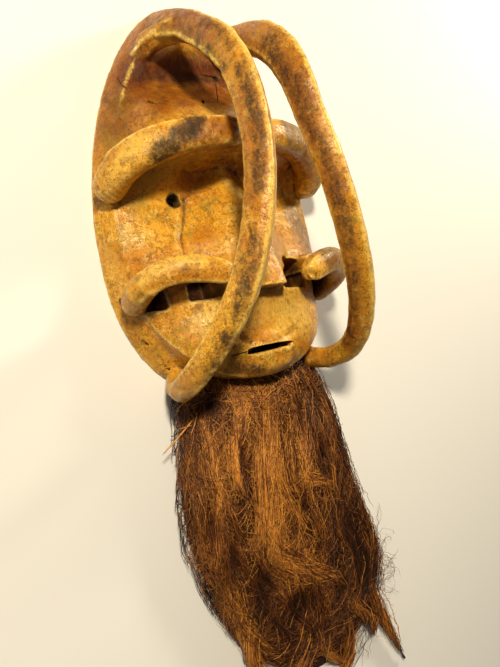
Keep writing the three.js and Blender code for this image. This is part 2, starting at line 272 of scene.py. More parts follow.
def write_mask(mesh: bpy.types.Mesh, name: str, values: np.ndarray) -> None:
    """Stores one number for each vertex as a named attribute."""
    attribute = mesh.attributes.get(name) or mesh.attributes.new(name, "FLOAT", "POINT")
    attribute.data.foreach_set("value", values.astype(np.float32))


def read_mask(mesh: bpy.types.Mesh, name: str) -> np.ndarray:
    """Reads a named attribute.

    Args:
        mesh: The mesh.
        name: The attribute's name.

    Returns:
        One number for each vertex.
    """
    values = np.zeros(len(mesh.vertices), np.float32)
    mesh.attributes[name].data.foreach_get("value", values)
    return values.astype(float)


def relaxed(mesh: bpy.types.Mesh, values: np.ndarray, rounds: int) -> np.ndarray:
    """Averages vertex values with their neighbours.

    Args:
        mesh: The mesh whose edges join the neighbours.
        values: A number or a row for each vertex.
        rounds: How often each value moves halfway to its neighbours' mean.

    Returns:
        The averaged values.
    """
    pairs = np.zeros(len(mesh.edges) * 2, np.int32)
    mesh.edges.foreach_get("vertices", pairs)
    a, b = pairs.reshape(-1, 2).T
    count = len(mesh.vertices)
    degree = np.maximum(1, np.bincount(a, minlength=count) + np.bincount(b, minlength=count))
    columns = values.reshape(count, -1).astype(float)
    for _ in range(rounds):
        sums = [
            np.bincount(a, column[b], count) + np.bincount(b, column[a], count) for column in columns.T
        ]
        columns = 0.5 * columns + 0.5 * np.stack(sums, 1) / degree[:, None]
    return columns.reshape(values.shape)


def nearest_on_path(points: np.ndarray, path: np.ndarray) -> tuple[np.ndarray, np.ndarray]:
    """Finds the nearest station of a dense path for each point.

    Args:
        points: Points in millimetres.
        path: The path's points, close together.

    Returns:
        The distances, and the indices into the path.
    """
    best = np.full(len(points), np.inf)
    index = np.zeros(len(points), int)
    for i, station in enumerate(path):
        distance = ((points - station) ** 2).sum(1)
        closer = distance < best
        best[closer] = distance[closer]
        index[closer] = i
    return np.sqrt(best), index


def surface_tree(obj: bpy.types.Object) -> BVHTree:
    """Returns a search tree of an object's surface, in metres."""
    return BVHTree.FromObject(obj, bpy.context.evaluated_depsgraph_get())


def laid_on(tree: BVHTree, line: np.ndarray) -> tuple[np.ndarray, np.ndarray]:
    """Lays a line on a surface.

    Args:
        tree: The surface.
        line: Points in millimetres, near the surface.

    Returns:
        The points on the surface in millimetres, and the surface's normals there.
    """
    spots, normals = [], []
    for point in line:
        spot, normal, _, _ = tree.find_nearest(place(tuple(point)))
        spots.append(np.array(spot) / MILLIMETRE + (0.0, ORIGIN_Y, 0.0))
        normals.append(np.array(normal))
    return np.array(spots), np.array(normals)


@dataclass(frozen=True)
class Stroke:
    """A soft mark along a line on the surface, fading out over its radius."""

    path: tuple[Point, ...]
    radius: float
    strength: float = 1.0

    def cover(self, points: np.ndarray) -> np.ndarray:
        """Measures the mark's cover.

        Args:
            points: Points in millimetres.

        Returns:
            How much of the mark each point has, from 0 to its strength.
        """
        if len(self.path) > 1:
            line = smooth_path(list(self.path), 8 * len(self.path))
        else:
            line = np.array(self.path, float)
        near = np.abs(points - line.mean(0)).max(1) < np.ptp(line, axis=0).max() + 2 * self.radius
        cover = np.zeros(len(points))
        distance, _ = nearest_on_path(points[near], line)
        cover[near] = self.strength * (1.0 - ease(0.35 * self.radius, 1.6 * self.radius, distance))
        return cover


@dataclass(frozen=True)
class Cut:
    """A thin wedge that opens a crack, a slit or a line in the wood."""

    path: tuple[Point, ...]
    width: float
    depth: float
    above: float = 1.0

    def cutter(self, tree: BVHTree) -> bpy.types.Object:
        """Makes the wedge along the line, laid on the surface.

        Args:
            tree: The surface that is cut.

        Returns:
            The closed wedge.
        """
        spots, normals = laid_on(tree, smooth_path(list(self.path), 5 * len(self.path)))
        along = np.gradient(spots, axis=0)
        side = np.cross(along, normals)
        side /= np.maximum(np.linalg.norm(side, axis=1), 1e-6)[:, None]
        share = np.linspace(0.0, 1.0, len(spots))
        taper = 0.15 + 0.85 * np.sqrt(np.clip(np.sin(math.pi * share), 0.0, 1.0))
        half = (0.5 * self.width * (self.depth + self.above) / self.depth * taper)[:, None]
        top = spots + normals * self.above
        corners = [top + side * half, top - side * half, spots - normals * self.depth]
        return closed_prism("cut", np.stack(corners, 1))


@dataclass(frozen=True)
class Section:
    """How a round limb's section is carved: ridges raised and flanks flattened, by angle from its front."""

    stations: tuple[Point, ...]
    # Angle, height and width of each ridge or flat, the angle positive towards the forehead or outwards
    shapes: tuple[tuple[float, float, float], ...]
    reach: float
    across: Point
    even_sided: bool
    ends: tuple[float, float] = (0.06, 0.92)

    def push(self, points: np.ndarray) -> np.ndarray:
        """Measures the carved section against the round one.

        Args:
            points: The mesh's points in millimetres.

        Returns:
            How far each point is pushed out of the limb's round section.
        """
        path = smooth_path(list(self.stations), 120)
        low, high = path.min(0) - self.reach, path.max(0) + self.reach
        near = np.flatnonzero(((points > low) & (points < high)).all(1))
        distance, index = nearest_on_path(points[near], path)
        tangents = np.gradient(path, axis=0)
        tangents /= np.linalg.norm(tangents, axis=1)[:, None]
        hint = np.array(self.across)
        across = hint - (tangents @ hint)[:, None] * tangents
        across /= np.linalg.norm(across, axis=1)[:, None]
        front = np.cross(across, tangents)
        front *= np.sign(front @ np.array((0.0, 0.25, 1.0)))[:, None]
        radial = points[near] - path[index]
        angle = np.degrees(np.arctan2((radial * across[index]).sum(1), (radial * front[index]).sum(1)))
        if self.even_sided:
            angle = np.abs(angle)
        shape = sum(height * bell(angle - middle, width) for middle, height, width in self.shapes)
        share = index / (len(path) - 1)
        start, end = self.ends
        fade = ease(start, start + 0.1, share) * (1 - ease(end, end + 0.08, share))
        push = np.zeros(len(points))
        push[near] = shape * fade * (1 - ease(self.reach - 3.0, self.reach, distance))
        return push


class Nodes:
    """Short calls that add shader nodes to one material."""

    def __init__(self, name: str) -> None:
        """Makes a node material with nothing but its shader.

        Args:
            name: The material's name.
        """
        self.material = bpy.data.materials.new(name)
        self.material.use_nodes = True
        self.tree = self.material.node_tree
        self.tree.nodes.clear()
        self.output = self.tree.nodes.new("ShaderNodeOutputMaterial")
        self.shader = self.tree.nodes.new("ShaderNodeBsdfPrincipled")
        self.link(self.shader.outputs["BSDF"], self.output.inputs["Surface"])
        self.coordinates = self.tree.nodes.new("ShaderNodeTexCoord").outputs["Object"]

    def link(self, source: bpy.types.NodeSocket, target: bpy.types.NodeSocket) -> None:
        """Joins an output to an input."""
        self.tree.links.new(source, target)

    def feed(self, socket: bpy.types.NodeSocket, value: object) -> None:
        """Links an output to a socket, or sets the socket's own value.

        Args:
            socket: The input.
            value: An output, a number, or a colour as three numbers.
        """
        if isinstance(value, bpy.types.NodeSocket):
            self.link(value, socket)
        elif isinstance(value, tuple) and len(value) == 3 and socket.type == "RGBA":
            socket.default_value = (*value, 1.0)
        else:
            socket.default_value = value

    def stretched(self, scale: Point) -> bpy.types.NodeSocket:
        """Stretches the object's coordinates.

        Args:
            scale: Features to the metre along each axis.

        Returns:
            The stretched coordinates.
        """
        node = self.tree.nodes.new("ShaderNodeMapping")
        node.inputs["Scale"].default_value = scale
        self.link(self.coordinates, node.inputs["Vector"])
        return node.outputs["Vector"]

    def noise(self, scale: float, detail: float = 2.0, rough: float = 0.5, vector: object = None,
              distortion: float = 0.0) -> bpy.types.NodeSocket:
        """Adds a noise.

        Args:
            scale: Features to the metre.
            detail: How many finer layers are added.
            rough: How strong the finer layers are.
            vector: Coordinates, if not the object's own.
            distortion: How much the noise is twisted.

        Returns:
            The noise, around 0.5.
        """
        node = self.tree.nodes.new("ShaderNodeTexNoise")
        node.inputs["Scale"].default_value = scale
        node.inputs["Detail"].default_value = detail
        node.inputs["Roughness"].default_value = rough
        node.inputs["Distortion"].default_value = distortion
        self.link(vector or self.coordinates, node.inputs["Vector"])
        return node.outputs["Fac"]

    def attribute(self, name: str) -> bpy.types.NodeSocket:
        """Reads a number that the mesh carries.

        Args:
            name: The attribute's name.

        Returns:
            Its value.
        """
        node = self.tree.nodes.new("ShaderNodeAttribute")
        node.attribute_name = name
        return node.outputs["Fac"]

    def span(self, value: object, low: float, high: float, start: float = 0.0,
             end: float = 1.0) -> bpy.types.NodeSocket:
        """Brings a value smoothly from one range to another.

        Args:
            value: The value.
            low: Where the result starts to change.
            high: Where it ends to change.
            start: The result up to low.
            end: The result from high on.

        Returns:
            The result.
        """
        node = self.tree.nodes.new("ShaderNodeMapRange")
        node.interpolation_type = "SMOOTHSTEP"
        self.feed(node.inputs["Value"], value)
        for socket, number in (("From Min", low), ("From Max", high), ("To Min", start), ("To Max", end)):
            self.feed(node.inputs[socket], number)
        return node.outputs["Result"]

    def math(self, operation: str, a: object, b: object = 0.0) -> bpy.types.NodeSocket:
        """Adds a math node.

        Args:
            operation: The operation's name.
            a: The first value.
            b: The second value.

        Returns:
            The result.
        """
        node = self.tree.nodes.new("ShaderNodeMath")
        node.operation = operation
        self.feed(node.inputs[0], a)
        self.feed(node.inputs[1], b)
        return node.outputs[0]

    def times(self, a: object, b: object) -> bpy.types.NodeSocket:
        """Returns the product of two values."""
        return self.math("MULTIPLY", a, b)

    def hairline(self, scale: float, width: float, stretch: object = None) -> bpy.types.NodeSocket:
        """Returns thin winding lines, where a noise passes its middle value."""
        wander = self.noise(scale, 4.0, 0.62, stretch, 0.3)
        return self.span(self.math("ABSOLUTE", self.math("SUBTRACT", wander, 0.5)), 0.0, width, 1.0, 0.0)

    def blend(self, share: object, a: object, b: object, kind: str = "MIX") -> bpy.types.NodeSocket:
        """Mixes two colours.

        Args:
            share: How much of the second colour shows.
            a: The first colour.
            b: The second colour.
            kind: The way they mix.

        Returns:
            The mixed colour.
        """
        node = self.tree.nodes.new("ShaderNodeMix")
        node.data_type = "RGBA"
        node.blend_type = kind
        node.clamp_factor = True
        self.feed(node.inputs["Factor"], share)
        self.feed(node.inputs[6], a)
        self.feed(node.inputs[7], b)
        return node.outputs[2]

    def bump(self, height: object, strength: float, distance: float,
             under: object = None) -> bpy.types.NodeSocket:
        """Bends the surface's normal by a height.

        Args:
            height: The height, from 0 to 1.
            strength: How much of it shows.
            distance: The height of 1, in metres.
            under: A normal that is bent already.

        Returns:
            The normal.
        """
        node = self.tree.nodes.new("ShaderNodeBump")
        node.inputs["Strength"].default_value = strength
        node.inputs["Distance"].default_value = distance
        self.feed(node.inputs["Height"], height)
        if under is not None:
            self.link(under, node.inputs["Normal"])
        return node.outputs["Normal"]


@dataclass(frozen=True)
class WornOchre:
    """Golden ochre paint on wood, darkened in patches and worn pale on its ridges, with painted shade in its
    hollows and towards its top, and painted highlights on some rounded parts.
    """

    ochre: Point = (0.70, 0.35, 0.026)
    orange: Point = (0.52, 0.20, 0.012)
    umber: Point = (0.22, 0.075, 0.010)
    straw: Point = (0.86, 0.58, 0.13)
    olive: Point = (0.33, 0.22, 0.025)
    soot_and_shade: Point = (0.022, 0.010, 0.005)
    rust_and_shade: Point = (0.11, 0.020, 0.007)
    chalk: Point = (0.90, 0.78, 0.48)
    aged_and_shaded: Point = (0.42, 0.25, 0.13)
    roughness: float = 0.31

    def material(self) -> bpy.types.Material:
        """Builds the material from its layers.

        Returns:
            The material.
        """
        n = Nodes("worn_ochre_wood")
        colour = self.paint_coat(n)
        colour = self.tints(n, colour)
        colour = self.grime_and_shade(n, colour)
        n.link(colour, n.shader.inputs["Base Color"])
        gloss = n.span(n.noise(120.0, 5.0, 0.65), 0.35, 0.65, self.roughness - 0.10, self.roughness + 0.18)
        dull = n.times(n.attribute(Tint.SOOT.value), 0.28)
        n.link(n.math("ADD", gloss, dull), n.shader.inputs["Roughness"])
        pores = n.bump(n.noise(1100.0, 3.0, 0.6), 0.30, 0.0004)
        cuts = n.bump(n.noise(1.0, 3.0, 0.55, n.stretched((620.0, 60.0, 330.0))), 0.30, 0.0006, pores)
        scratches = n.bump(n.hairline(150.0, 0.012), 0.35, 0.0005, cuts)
        n.link(n.bump(n.noise(190.0, 5.0, 0.62), 0.42, 0.0011, scratches), n.shader.inputs["Normal"])
        n.shader.inputs["Specular IOR Level"].default_value = 0.46
        n.shader.inputs["Specular Tint"].default_value = (1.0, 0.86, 0.58, 1.0)
        return n.material

    def paint_coat(self, n: Nodes) -> bpy.types.NodeSocket:
        """Lays the ochre coat with its drift, grain and mottling.

        Args:
            n: The material's nodes.

        Returns:
            The coat's colour.
        """
        colour = n.blend(n.span(n.noise(24.0, 3.0, 0.55), 0.40, 0.62), self.ochre, self.orange)
        grain = n.noise(1.0, 4.0, 0.6, n.stretched((520.0, 26.0, 240.0)))
        colour = n.blend(n.span(grain, 0.48, 0.66, 0.0, 0.55), colour, self.orange)
        moss = n.noise(58.0, 5.0, 0.68, None, 0.4)
        colour = n.blend(n.span(moss, 0.50, 0.66, 0.0, 0.65), colour, self.olive)
        blotches = n.noise(90.0, 6.0, 0.75, None, 0.6)
        colour = n.blend(n.span(blotches, 0.53, 0.64, 0.0, 0.70), colour, self.umber)
        mottle = n.noise(230.0, 5.0, 0.72)
        colour = n.blend(n.span(mottle, 0.50, 0.66, 0.0, 0.75), colour, self.umber)
        pale = n.times(n.span(n.noise(160.0, 4.0, 0.7), 0.52, 0.64), n.span(n.noise(30.0, 2.0), 0.42, 0.60))
        return n.blend(n.times(pale, 0.55), colour, self.straw)

    def tints(self, n: Nodes, colour: bpy.types.NodeSocket) -> bpy.types.NodeSocket:
        """Adds the olive, rusty and darkened areas, which are partly painted shade, and the worn edges with
        painted highlights.

        Args:
            n: The material's nodes.
            colour: The coat's colour.

        Returns:
            The tinted colour.
        """
        def broken(tint: Tint, scale: float, least: float) -> bpy.types.NodeSocket:
            """Returns a painted mask broken up by noise, down to the least share of it."""
            patches = n.span(n.noise(scale, 4.0, 0.62), 0.28, 0.62, least, 1.0)
            return n.times(n.attribute(tint.value), patches)

        colour = n.blend(broken(Tint.OLIVE, 60.0, 0.4), colour, self.olive)
        # Brown darkening, partly old stain and partly painted shade towards the top, in the bowl and on the
        # brow arcs' inner part
        colour = n.blend(broken(Tint.AGE, 75.0, 0.78), colour, self.aged_and_shaded, "MULTIPLY")
        # Red-brown stain, and painted shade in the bowl and the cheek recesses
        colour = n.blend(broken(Tint.RUST, 70.0, 0.55), colour, self.rust_and_shade)
        # Worn pale edges, and painted highlights on the horns' right flanks, the left cheek arc and the left
        # rim
        return n.blend(n.times(broken(Tint.WEAR, 240.0, 0.30), 0.90), colour, self.straw)

    def grime_and_shade(self, n: Nodes, colour: bpy.types.NodeSocket) -> bpy.types.NodeSocket:
        """Adds sooty patches, specks, hairlines, grime and painted shade in the hollows, and chalky chips.

        Args:
            n: The material's nodes.
            colour: The tinted colour.

        Returns:
            The finished colour.
        """
        fine = n.times(n.noise(520.0, 6.0, 0.8), 0.40)
        broad = n.times(n.noise(75.0, 5.0, 0.72), 0.35)
        streak = n.times(n.noise(1.0, 4.0, 0.65, n.stretched((380.0, 90.0, 240.0))), 0.25)
        patch = n.times(n.attribute(Tint.SOOT.value), 0.20)
        level = n.math("ADD", n.math("ADD", fine, broad), n.math("ADD", streak, patch))
        colour = n.blend(n.span(level, 0.545, 0.76, 0.0, 0.94), colour, self.soot_and_shade)
        crowd = n.span(n.noise(42.0, 3.0, 0.6), 0.38, 0.60, 0.30, 1.0)
        specks = n.times(n.span(n.noise(760.0, 3.0, 0.7), 0.555, 0.64), crowd)
        colour = n.blend(n.times(specks, 0.80), colour, self.soot_and_shade)
        lines = n.times(n.hairline(150.0, 0.018), n.span(n.noise(50.0, 4.0, 0.65), 0.44, 0.58))
        colour = n.blend(n.times(lines, 0.75), colour, self.soot_and_shade)
        streaks = n.times(n.hairline(1.0, 0.022, n.stretched((210.0, 42.0, 160.0))), crowd)
        colour = n.blend(n.times(streaks, 0.55), colour, self.umber)
        # Grime and painted shade in the hollows, and painted shade on the walls of holes and cracks
        hollow = n.span(n.attribute(Tint.CAVITY.value), 0.10, 1.0, 0.0, 0.72)
        colour = n.blend(hollow, colour, self.soot_and_shade)
        chip = n.span(n.times(n.attribute(Tint.CHALK.value), n.noise(330.0, 4.0, 0.7)), 0.44, 0.52)
        return n.blend(n.times(chip, 0.80), colour, self.chalk)


@dataclass(frozen=True)
class PlantFibre:
    """Dry plant fibre, from dark reddish brown to golden straw by strand."""

    dark: Point = (0.034, 0.012, 0.005)
    brown: Point = (0.230, 0.070, 0.014)
    golden: Point = (0.70, 0.30, 0.050)
    roughness: float = 0.50

    def material(self) -> bpy.types.Material:
        """Builds the material from the strands' own tone.

        Returns:
            The material.
        """
        n = Nodes("plant_fibre_strands")
        tone = n.attribute("tone")
        colour = n.blend(n.span(tone, 0.05, 0.50), self.dark, self.brown)
        colour = n.blend(n.span(tone, 0.42, 0.95), colour, self.golden)
        colour = n.blend(n.span(n.noise(220.0, 4.0, 0.65), 0.45, 0.70, 0.0, 0.50), colour, self.dark)
        n.link(colour, n.shader.inputs["Base Color"])
        n.shader.inputs["Roughness"].default_value = self.roughness
        n.shader.inputs["Specular IOR Level"].default_value = 0.35
        return n.material


# Middle lines of the horns and arcs, from the rim or the nose to their far ends
LEFT_HORN = (
    (-27, 150, 23), (-27, 139, 46), (-26.5, 126, 66), (-26, 111, 83), (-26, 96, 99), (-26, 81, 112),
    (-26, 67, 119), (-26, 49, 125), (-27.5, 28, 130), (-32, 0, 136), (-40, -40, 135.6), (-48.5, -70, 131),
    (-59, -101, 121), (-70, -125, 106), (-79, -146, 86), (-83.5, -158, 65), (-81, -164, 45),
)
RIGHT_HORN = (
    (28, 137, 29), (28.5, 130, 48), (29, 121, 68), (29, 110, 88), (28.5, 94, 104.5), (28, 77, 116.5),
    (27, 55, 125.5), (28, 28, 131), *mirrored(LEFT_HORN[9:]),
)
BROW_ARC = ((16, 30, 84), (28, 30.5, 81.5), (46, 30.5, 75), (67, 28.5, 65), (86, 22.5, 53), (99.5, 12.5, 39))
LEFT_CHEEK_ARC = ((-44, -80, 78), (-60, -75, 73), (-80, -73, 66), (-95, -77, 55), (-102, -85, 40))
RIGHT_CHEEK_ARC = ((44, -86, 79), (60, -80, 74), (80, -76, 67), (96, -80, 56), (103, -90, 40))

# The rim's crest, which runs on along the near horn's inner edge
CREST = (
    (-60, 121, 24), (-50, 128, 29), (-43, 131, 36), (-38, 130, 46), (-37, 123, 58), (-37, 112, 72),
    (-37, 98, 88), (-37, 84, 102), (-37, 72, 111),
)
FAR_CREST = ((38, 122, 60), (42, 126, 44), (50, 122, 30), (58, 116, 25), (66, 109, 22))

# Ridges and flats round each limb: angle, height and width
HORN_SHAPES = ((0, 1.5, 16), (122, 1.4, 15), (60, -0.9, 30), (180, -0.8, 28))
BROW_SHAPES = ((50, 1.5, 14), (-52, 1.0, 18), (0, -1.1, 26), (104, -1.0, 26), (-105, -0.8, 30))
CHEEK_SHAPES = ((56, 0.7, 18), (-58, 1.2, 14), (0, -0.5, 26), (-100, -0.9, 22))

SECTIONS = (
    Section(LEFT_HORN, HORN_SHAPES, 19.0, (1, 0, 0), True),
    Section(RIGHT_HORN, HORN_SHAPES, 21.0, (1, 0, 0), True),
    Section(BROW_ARC, BROW_SHAPES, 19.0, (0, 1, 0), False, (-0.2, 0.95)),
    Section(mirrored(BROW_ARC), BROW_SHAPES, 19.0, (0, 1, 0), False, (-0.2, 0.95)),
    Section(LEFT_CHEEK_ARC, CHEEK_SHAPES, 15.0, (0, 1, 0), False, (-0.2, 0.9)),
    Section(RIGHT_CHEEK_ARC, CHEEK_SHAPES, 15.0, (0, 1, 0), False, (-0.2, 0.9)),
)

# Cracks and nicks: a line, its width and its depth
CRACKS = (
    Cut(((27, 106, 16), (24, 99, 20), (20, 92, 25), (14, 84, 33), (7, 76, 41)), 1.3, 2.6),
    Cut(((-60, 75, 36), (-57.5, 72, 39), (-55, 69.5, 42)), 3.0, 3.0),
    Cut(((-7, 78, 39), (-10, 74, 44), (-13, 70, 48)), 2.6, 3.0),
    Cut(((-72, 104, 14), (-71, 95, 18), (-68, 86, 23)), 0.6, 1.2),
    Cut(((-38, -145.5, 57), (-33, -145, 58), (-27, -144.5, 60), (-23, -144, 60)), 1.2, 2.2),
    Cut(((32, 111, 14), (28, 112, 14), (22, 113, 15), (14, 114, 16)), 1.1, 2.0),
)

# Grooves that keep the carved planes of the face apart: a line, its width and its depth
NOSE_CREASE = ((-37, -8, 27), (-40, -16, 30), (-47, -30, 35), (-54, -44, 40), (-57, -58, 46))
UPPER_LIP = (
    (-44, -118, 62), (-34, -128, 62), (-24, -136, 62), (-8, -139, 64), (12, -138, 64), (28, -134, 60),
)
LOWER_LIP = ((-36, -150, 56), (-20, -153, 61), (0, -154, 63), (22, -151, 60))
GROOVES = ((NOSE_CREASE, 2.4, 1.3), (UPPER_LIP, 2.6, 1.0), (LOWER_LIP, 3.0, 0.8))

# Where the horns grow out of the rim, everything flows together
HORN_ROOTS = ((-52, 124, 22), (-36, 134, 30), (36, 128, 32), (52, 118, 22))

# The shallow pit in the right cheek arc's inner end, its radius and its depth
ARC_PIT, ARC_PIT_RADIUS, ARC_PIT_DEPTH = (44, -91, 87), 3.6, 1.6

# Marks of the tools: name, kind of texture, size and depth
TOOL_MARKS = (
    ("adze facets", "VORONOI", 15.0, 0.65),
    ("knife marks", "CLOUDS", 5.5, 0.45),
    ("dents", "CLOUDS", 2.6, 0.25),
)


@dataclass
class MaskCarving:
    """The wooden mask: face, arcs and horns in one piece."""

    node: str = "mask_carving"
    voxel: float = 1.3
    most_triangles: int = 192_000
    crease_angle: float = 34.0
    crease_reach: Station = (0.8, 5.5)
    crest_height: float = 1.3
    crest_width: float = 2.4
    # The gutter beside the crest: depth, distance and width
    gutter: Point = (0.5, 6.0, 3.0)
    # The eyes' distance from the middle, their height on the face and their radius
    eye: Point = (47.5, -8.0, 5.3)
    # Corners of the mouth slit, from its slanted left end to its pointed right one
    mouth: tuple[Station, ...] = (
        (-25, -146.4), (-23.5, -142.4), (-12, -141.4), (4, -141.2), (18, -141.6), (26, -142.6),
        (20, -144.6), (8, -146.0), (-8, -146.8), (-20, -147.2),
    )
    lacing_holes: tuple[Point, ...] = ((102, -90, 12), (89, -123, 12), (72, -148, 12))
    lacing_radius: float = 2.3
    lacing_depth: float = 36.0
    knot: Point = (28.5, 111.0, 14.0)
    # The knot hole's radius at its bottom and at its top
    knot_radii: Station = (0.8, 4.6)
    knot_depth: float = 9.0
    # The deepest that a hole through the face can be
    thickness: float = 80.0
    # From what rise the paint is worn, and from what fall it is dirty and painted with shade, to where it is
    # wholly so
    worn_rise: Station = (0.10, 0.42)
    grime_and_shade_fall: Station = (0.10, 0.60)
    # How dark the walls of holes and cracks, and the edges round them, are painted as shade
    soot_and_shade_in_cuts: float = 3.0
    grime_and_shade_at_edges: float = 0.4

    def build(self) -> bpy.types.Object:
        """Makes the carving's mesh and dresses it.

        Returns:
            The finished object.
        """
        carving = solid_copy(self.node, "carved_mask")
        creases = self.crease_points(carving.data)
        self.remesh(carving)
        self.soften(carving, creases)
        self.sculpt(carving)
        self.note_form(carving)
        self.cut_away(carving, self.holes(surface_tree(carving)))
        self.cut_away(carving, [crack.cutter(surface_tree(carving)) for crack in CRACKS])
        self.paint(carving)
        self.thin_out(carving)
        carving.data.materials.clear()
        carving.data.materials.append(WornOchre().material())
        select_only(carving)
        bpy.ops.object.shade_smooth_by_angle(angle=math.radians(38))
        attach(carving, BODY)
        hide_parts(self.node)
        return carving

    def crease_points(self, mesh: bpy.types.Mesh) -> KDTree:
        """Gathers points along the solid's sharp edges, which stay crisp.

        Args:
            mesh: The merged copy of the solid.

        Returns:
            A balanced tree of those points in millimetres.
        """
        points = points_of(mesh)
        normals = np.zeros(len(mesh.polygons) * 3, np.float32)
        mesh.polygons.foreach_get("normal", normals)
        normals = normals.reshape(-1, 3)
        sides: dict[tuple[int, int], list[int]] = {}
        for polygon in mesh.polygons:
            for key in polygon.edge_keys:
                sides.setdefault(key, []).append(polygon.index)
        limit = math.cos(math.radians(self.crease_angle))
        found: list[np.ndarray] = []
        for (a, b), faces in sides.items():
            if len(faces) == 2 and float(normals[faces[0]] @ normals[faces[1]]) < limit:
                steps = max(2, int(np.linalg.norm(points[b] - points[a])) + 1)
                found.extend(np.linspace(points[a], points[b], steps))
        tree = KDTree(len(found))
        for i, point in enumerate(found):
            tree.insert(point, i)
        tree.balance()
        return tree

    def remesh(self, carving: bpy.types.Object) -> None:
        """Gives the solid an even, fine mesh.

        Args:
            carving: The carving's object.
        """
        modifier = carving.modifiers.new("even mesh", "REMESH")
        modifier.mode = "VOXEL"
        modifier.voxel_size = self.voxel * MILLIMETRE
        apply_modifiers(carving)

    def soften(self, carving: bpy.types.Object, creases: KDTree) -> None:
        """Rounds the solid's facets away, and leaves its sharp edges.

        Args:
            carving: The evenly meshed carving.
            creases: Points along the edges that stay crisp.
        """
        near, far = self.crease_reach
        points = points_of(carving.data)
        distance = np.array([creases.find(point)[2] for point in points])
        weights = ease(near, far, distance)
        for root in HORN_ROOTS:
            weights = np.maximum(weights, bell(np.linalg.norm(points - root, axis=1), 15.0))
        group = carving.vertex_groups.new(name="free of creases")
        levels = np.round(weights * 20).astype(int)
        for level in range(1, 21):
            group.add(np.flatnonzero(levels == level).tolist(), level / 20, "REPLACE")
        for name, rounds, where in (("facets", 26, group.name), ("edges", 2, "")):
            modifier = carving.modifiers.new(name, "SMOOTH")
            modifier.factor = 0.5
            modifier.iterations = rounds
            modifier.vertex_group = where
        apply_modifiers(carving)
        carving.vertex_groups.clear()

    def sculpt(self, carving: bpy.types.Object) -> None:
        """Works the limbs' sections, the rim's crest and the marks of the tools into the surface.

        Args:
            carving: The softened carving.
        """
        mesh = carving.data
        tree = surface_tree(carving)
        points = points_of(mesh)
        normals = normals_of(mesh)
        push = sum(section.push(points) for section in SECTIONS)
        depth, beside, wide = self.gutter
        for crest in (CREST, FAR_CREST):
            line, _ = laid_on(tree, smooth_path(list(crest), 140))
            distance, _ = nearest_on_path(points, line)
            ridge = self.crest_height * bell(distance, self.crest_width)
            push += ridge - depth * bell(distance - beside, wide)
        for line, width, depth in GROOVES:
            distance, _ = nearest_on_path(points, smooth_path(list(line), 60))
            push += depth * (0.5 * bell(distance - 2.4 * width, width) - bell(distance, width))
        push += self.growth_rings(points)
        push -= ARC_PIT_DEPTH * bell(np.linalg.norm(points - ARC_PIT, axis=1), ARC_PIT_RADIUS)
        move_points(mesh, points + normals * push[:, None])
        for name, kind, size, strength in TOOL_MARKS:
            texture = bpy.data.textures.new(name, kind)
            texture.noise_scale = size * MILLIMETRE
            modifier = carving.modifiers.new(name, "DISPLACE")
            modifier.texture = texture
            modifier.texture_coords = "LOCAL"
            modifier.strength = strength * MILLIMETRE
            modifier.mid_level = 0.5
        apply_modifiers(carving)

    def growth_rings(self, points: np.ndarray) -> np.ndarray:
        """Makes the fine rings that show in the end grain of the brow arcs' outer ends.

        Args:
            points: The mesh's points in millimetres.

        Returns:
            How far each point is pushed out.
        """
        height, spacing, reach = 0.28, 3.4, 15.0
        rings = np.zeros(len(points))
        for side in (-1, 1):
            from_middle = np.linalg.norm(points - (side * 92, 16, 46), axis=1)
            here = bell(np.linalg.norm(points - (side * 106, -1, 32), axis=1), reach)
            rings += height * here * np.sin(from_middle * 2 * math.pi / spacing)
        return rings

    def holes(self, tree: BVHTree) -> list[bpy.types.Object]:
        """Makes the cutters of the eyes, the mouth, the lacing holes and the knot hole.

        Args:
            tree: The carving's surface.

        Returns:
            Closed cutters that don't touch each other.
        """
        cutters = []
        x, y, radius = self.eye
        depth = 2 * self.thickness * MILLIMETRE
        for side in (-1, 1):
            deselect()
            bpy.ops.mesh.primitive_cylinder_add(
                vertices=40, radius=radius * MILLIMETRE, depth=depth, location=place((side * x, y, 40)),
                scale=(1.2, 1.0, 1.0))
            cutters.append(bpy.context.active_object)
            for hole in self.lacing_holes:
                spot, normals = laid_on(tree, np.array([(side * hole[0], hole[1], hole[2])]))
                inwards = Vector((normals[0, 0], normals[0, 1], 0.0)).normalized()
                deselect()
                bpy.ops.mesh.primitive_cylinder_add(
                    vertices=20, radius=self.lacing_radius * MILLIMETRE, depth=self.lacing_depth * MILLIMETRE,
                    location=place(tuple(spot[0])), rotation=inwards.to_track_quat("Z", "Y").to_euler())
                cutters.append(bpy.context.active_object)
        spot, _ = laid_on(tree, np.array([self.knot]))
        bottom, top = self.knot_radii
        deselect()
        bpy.ops.mesh.primitive_cone_add(
            vertices=9, radius1=bottom * MILLIMETRE, radius2=top * MILLIMETRE,
            depth=self.knot_depth * MILLIMETRE, location=place(tuple(spot[0])))
        cutters.append(bpy.context.active_object)
        for cutter in cutters:
            select_only(cutter)
            bpy.ops.object.transform_apply(location=True, rotation=True, scale=True)
        ends = (-self.thickness, 2 * self.thickness)
        slit = [[(corner_x, corner_y, end) for corner_x, corner_y in self.mouth] for end in ends]
        cutters.append(closed_prism("mouth slit", np.array(slit)))
        return cutters

    def cut_away(self, carving: bpy.types.Object, cutters: list[bpy.types.Object]) -> None:
        """Takes closed cutters out of the carving.

        Args:
            carving: The carving's object.
            cutters: Cutters, which are used up.
        """
        tool = join("cutters", cutters)
        # The cutters' points mark the walls they leave, which the finish paints dark as shade
        write_mask(tool.data, "cut", np.ones(len(tool.data.vertices)))
        modifier = carving.modifiers.new("cut", "BOOLEAN")
        modifier.operation = "DIFFERENCE"
        modifier.object = tool
        modifier.solver = "MANIFOLD"
        apply_modifiers(carving)
        bpy.data.objects.remove(tool)

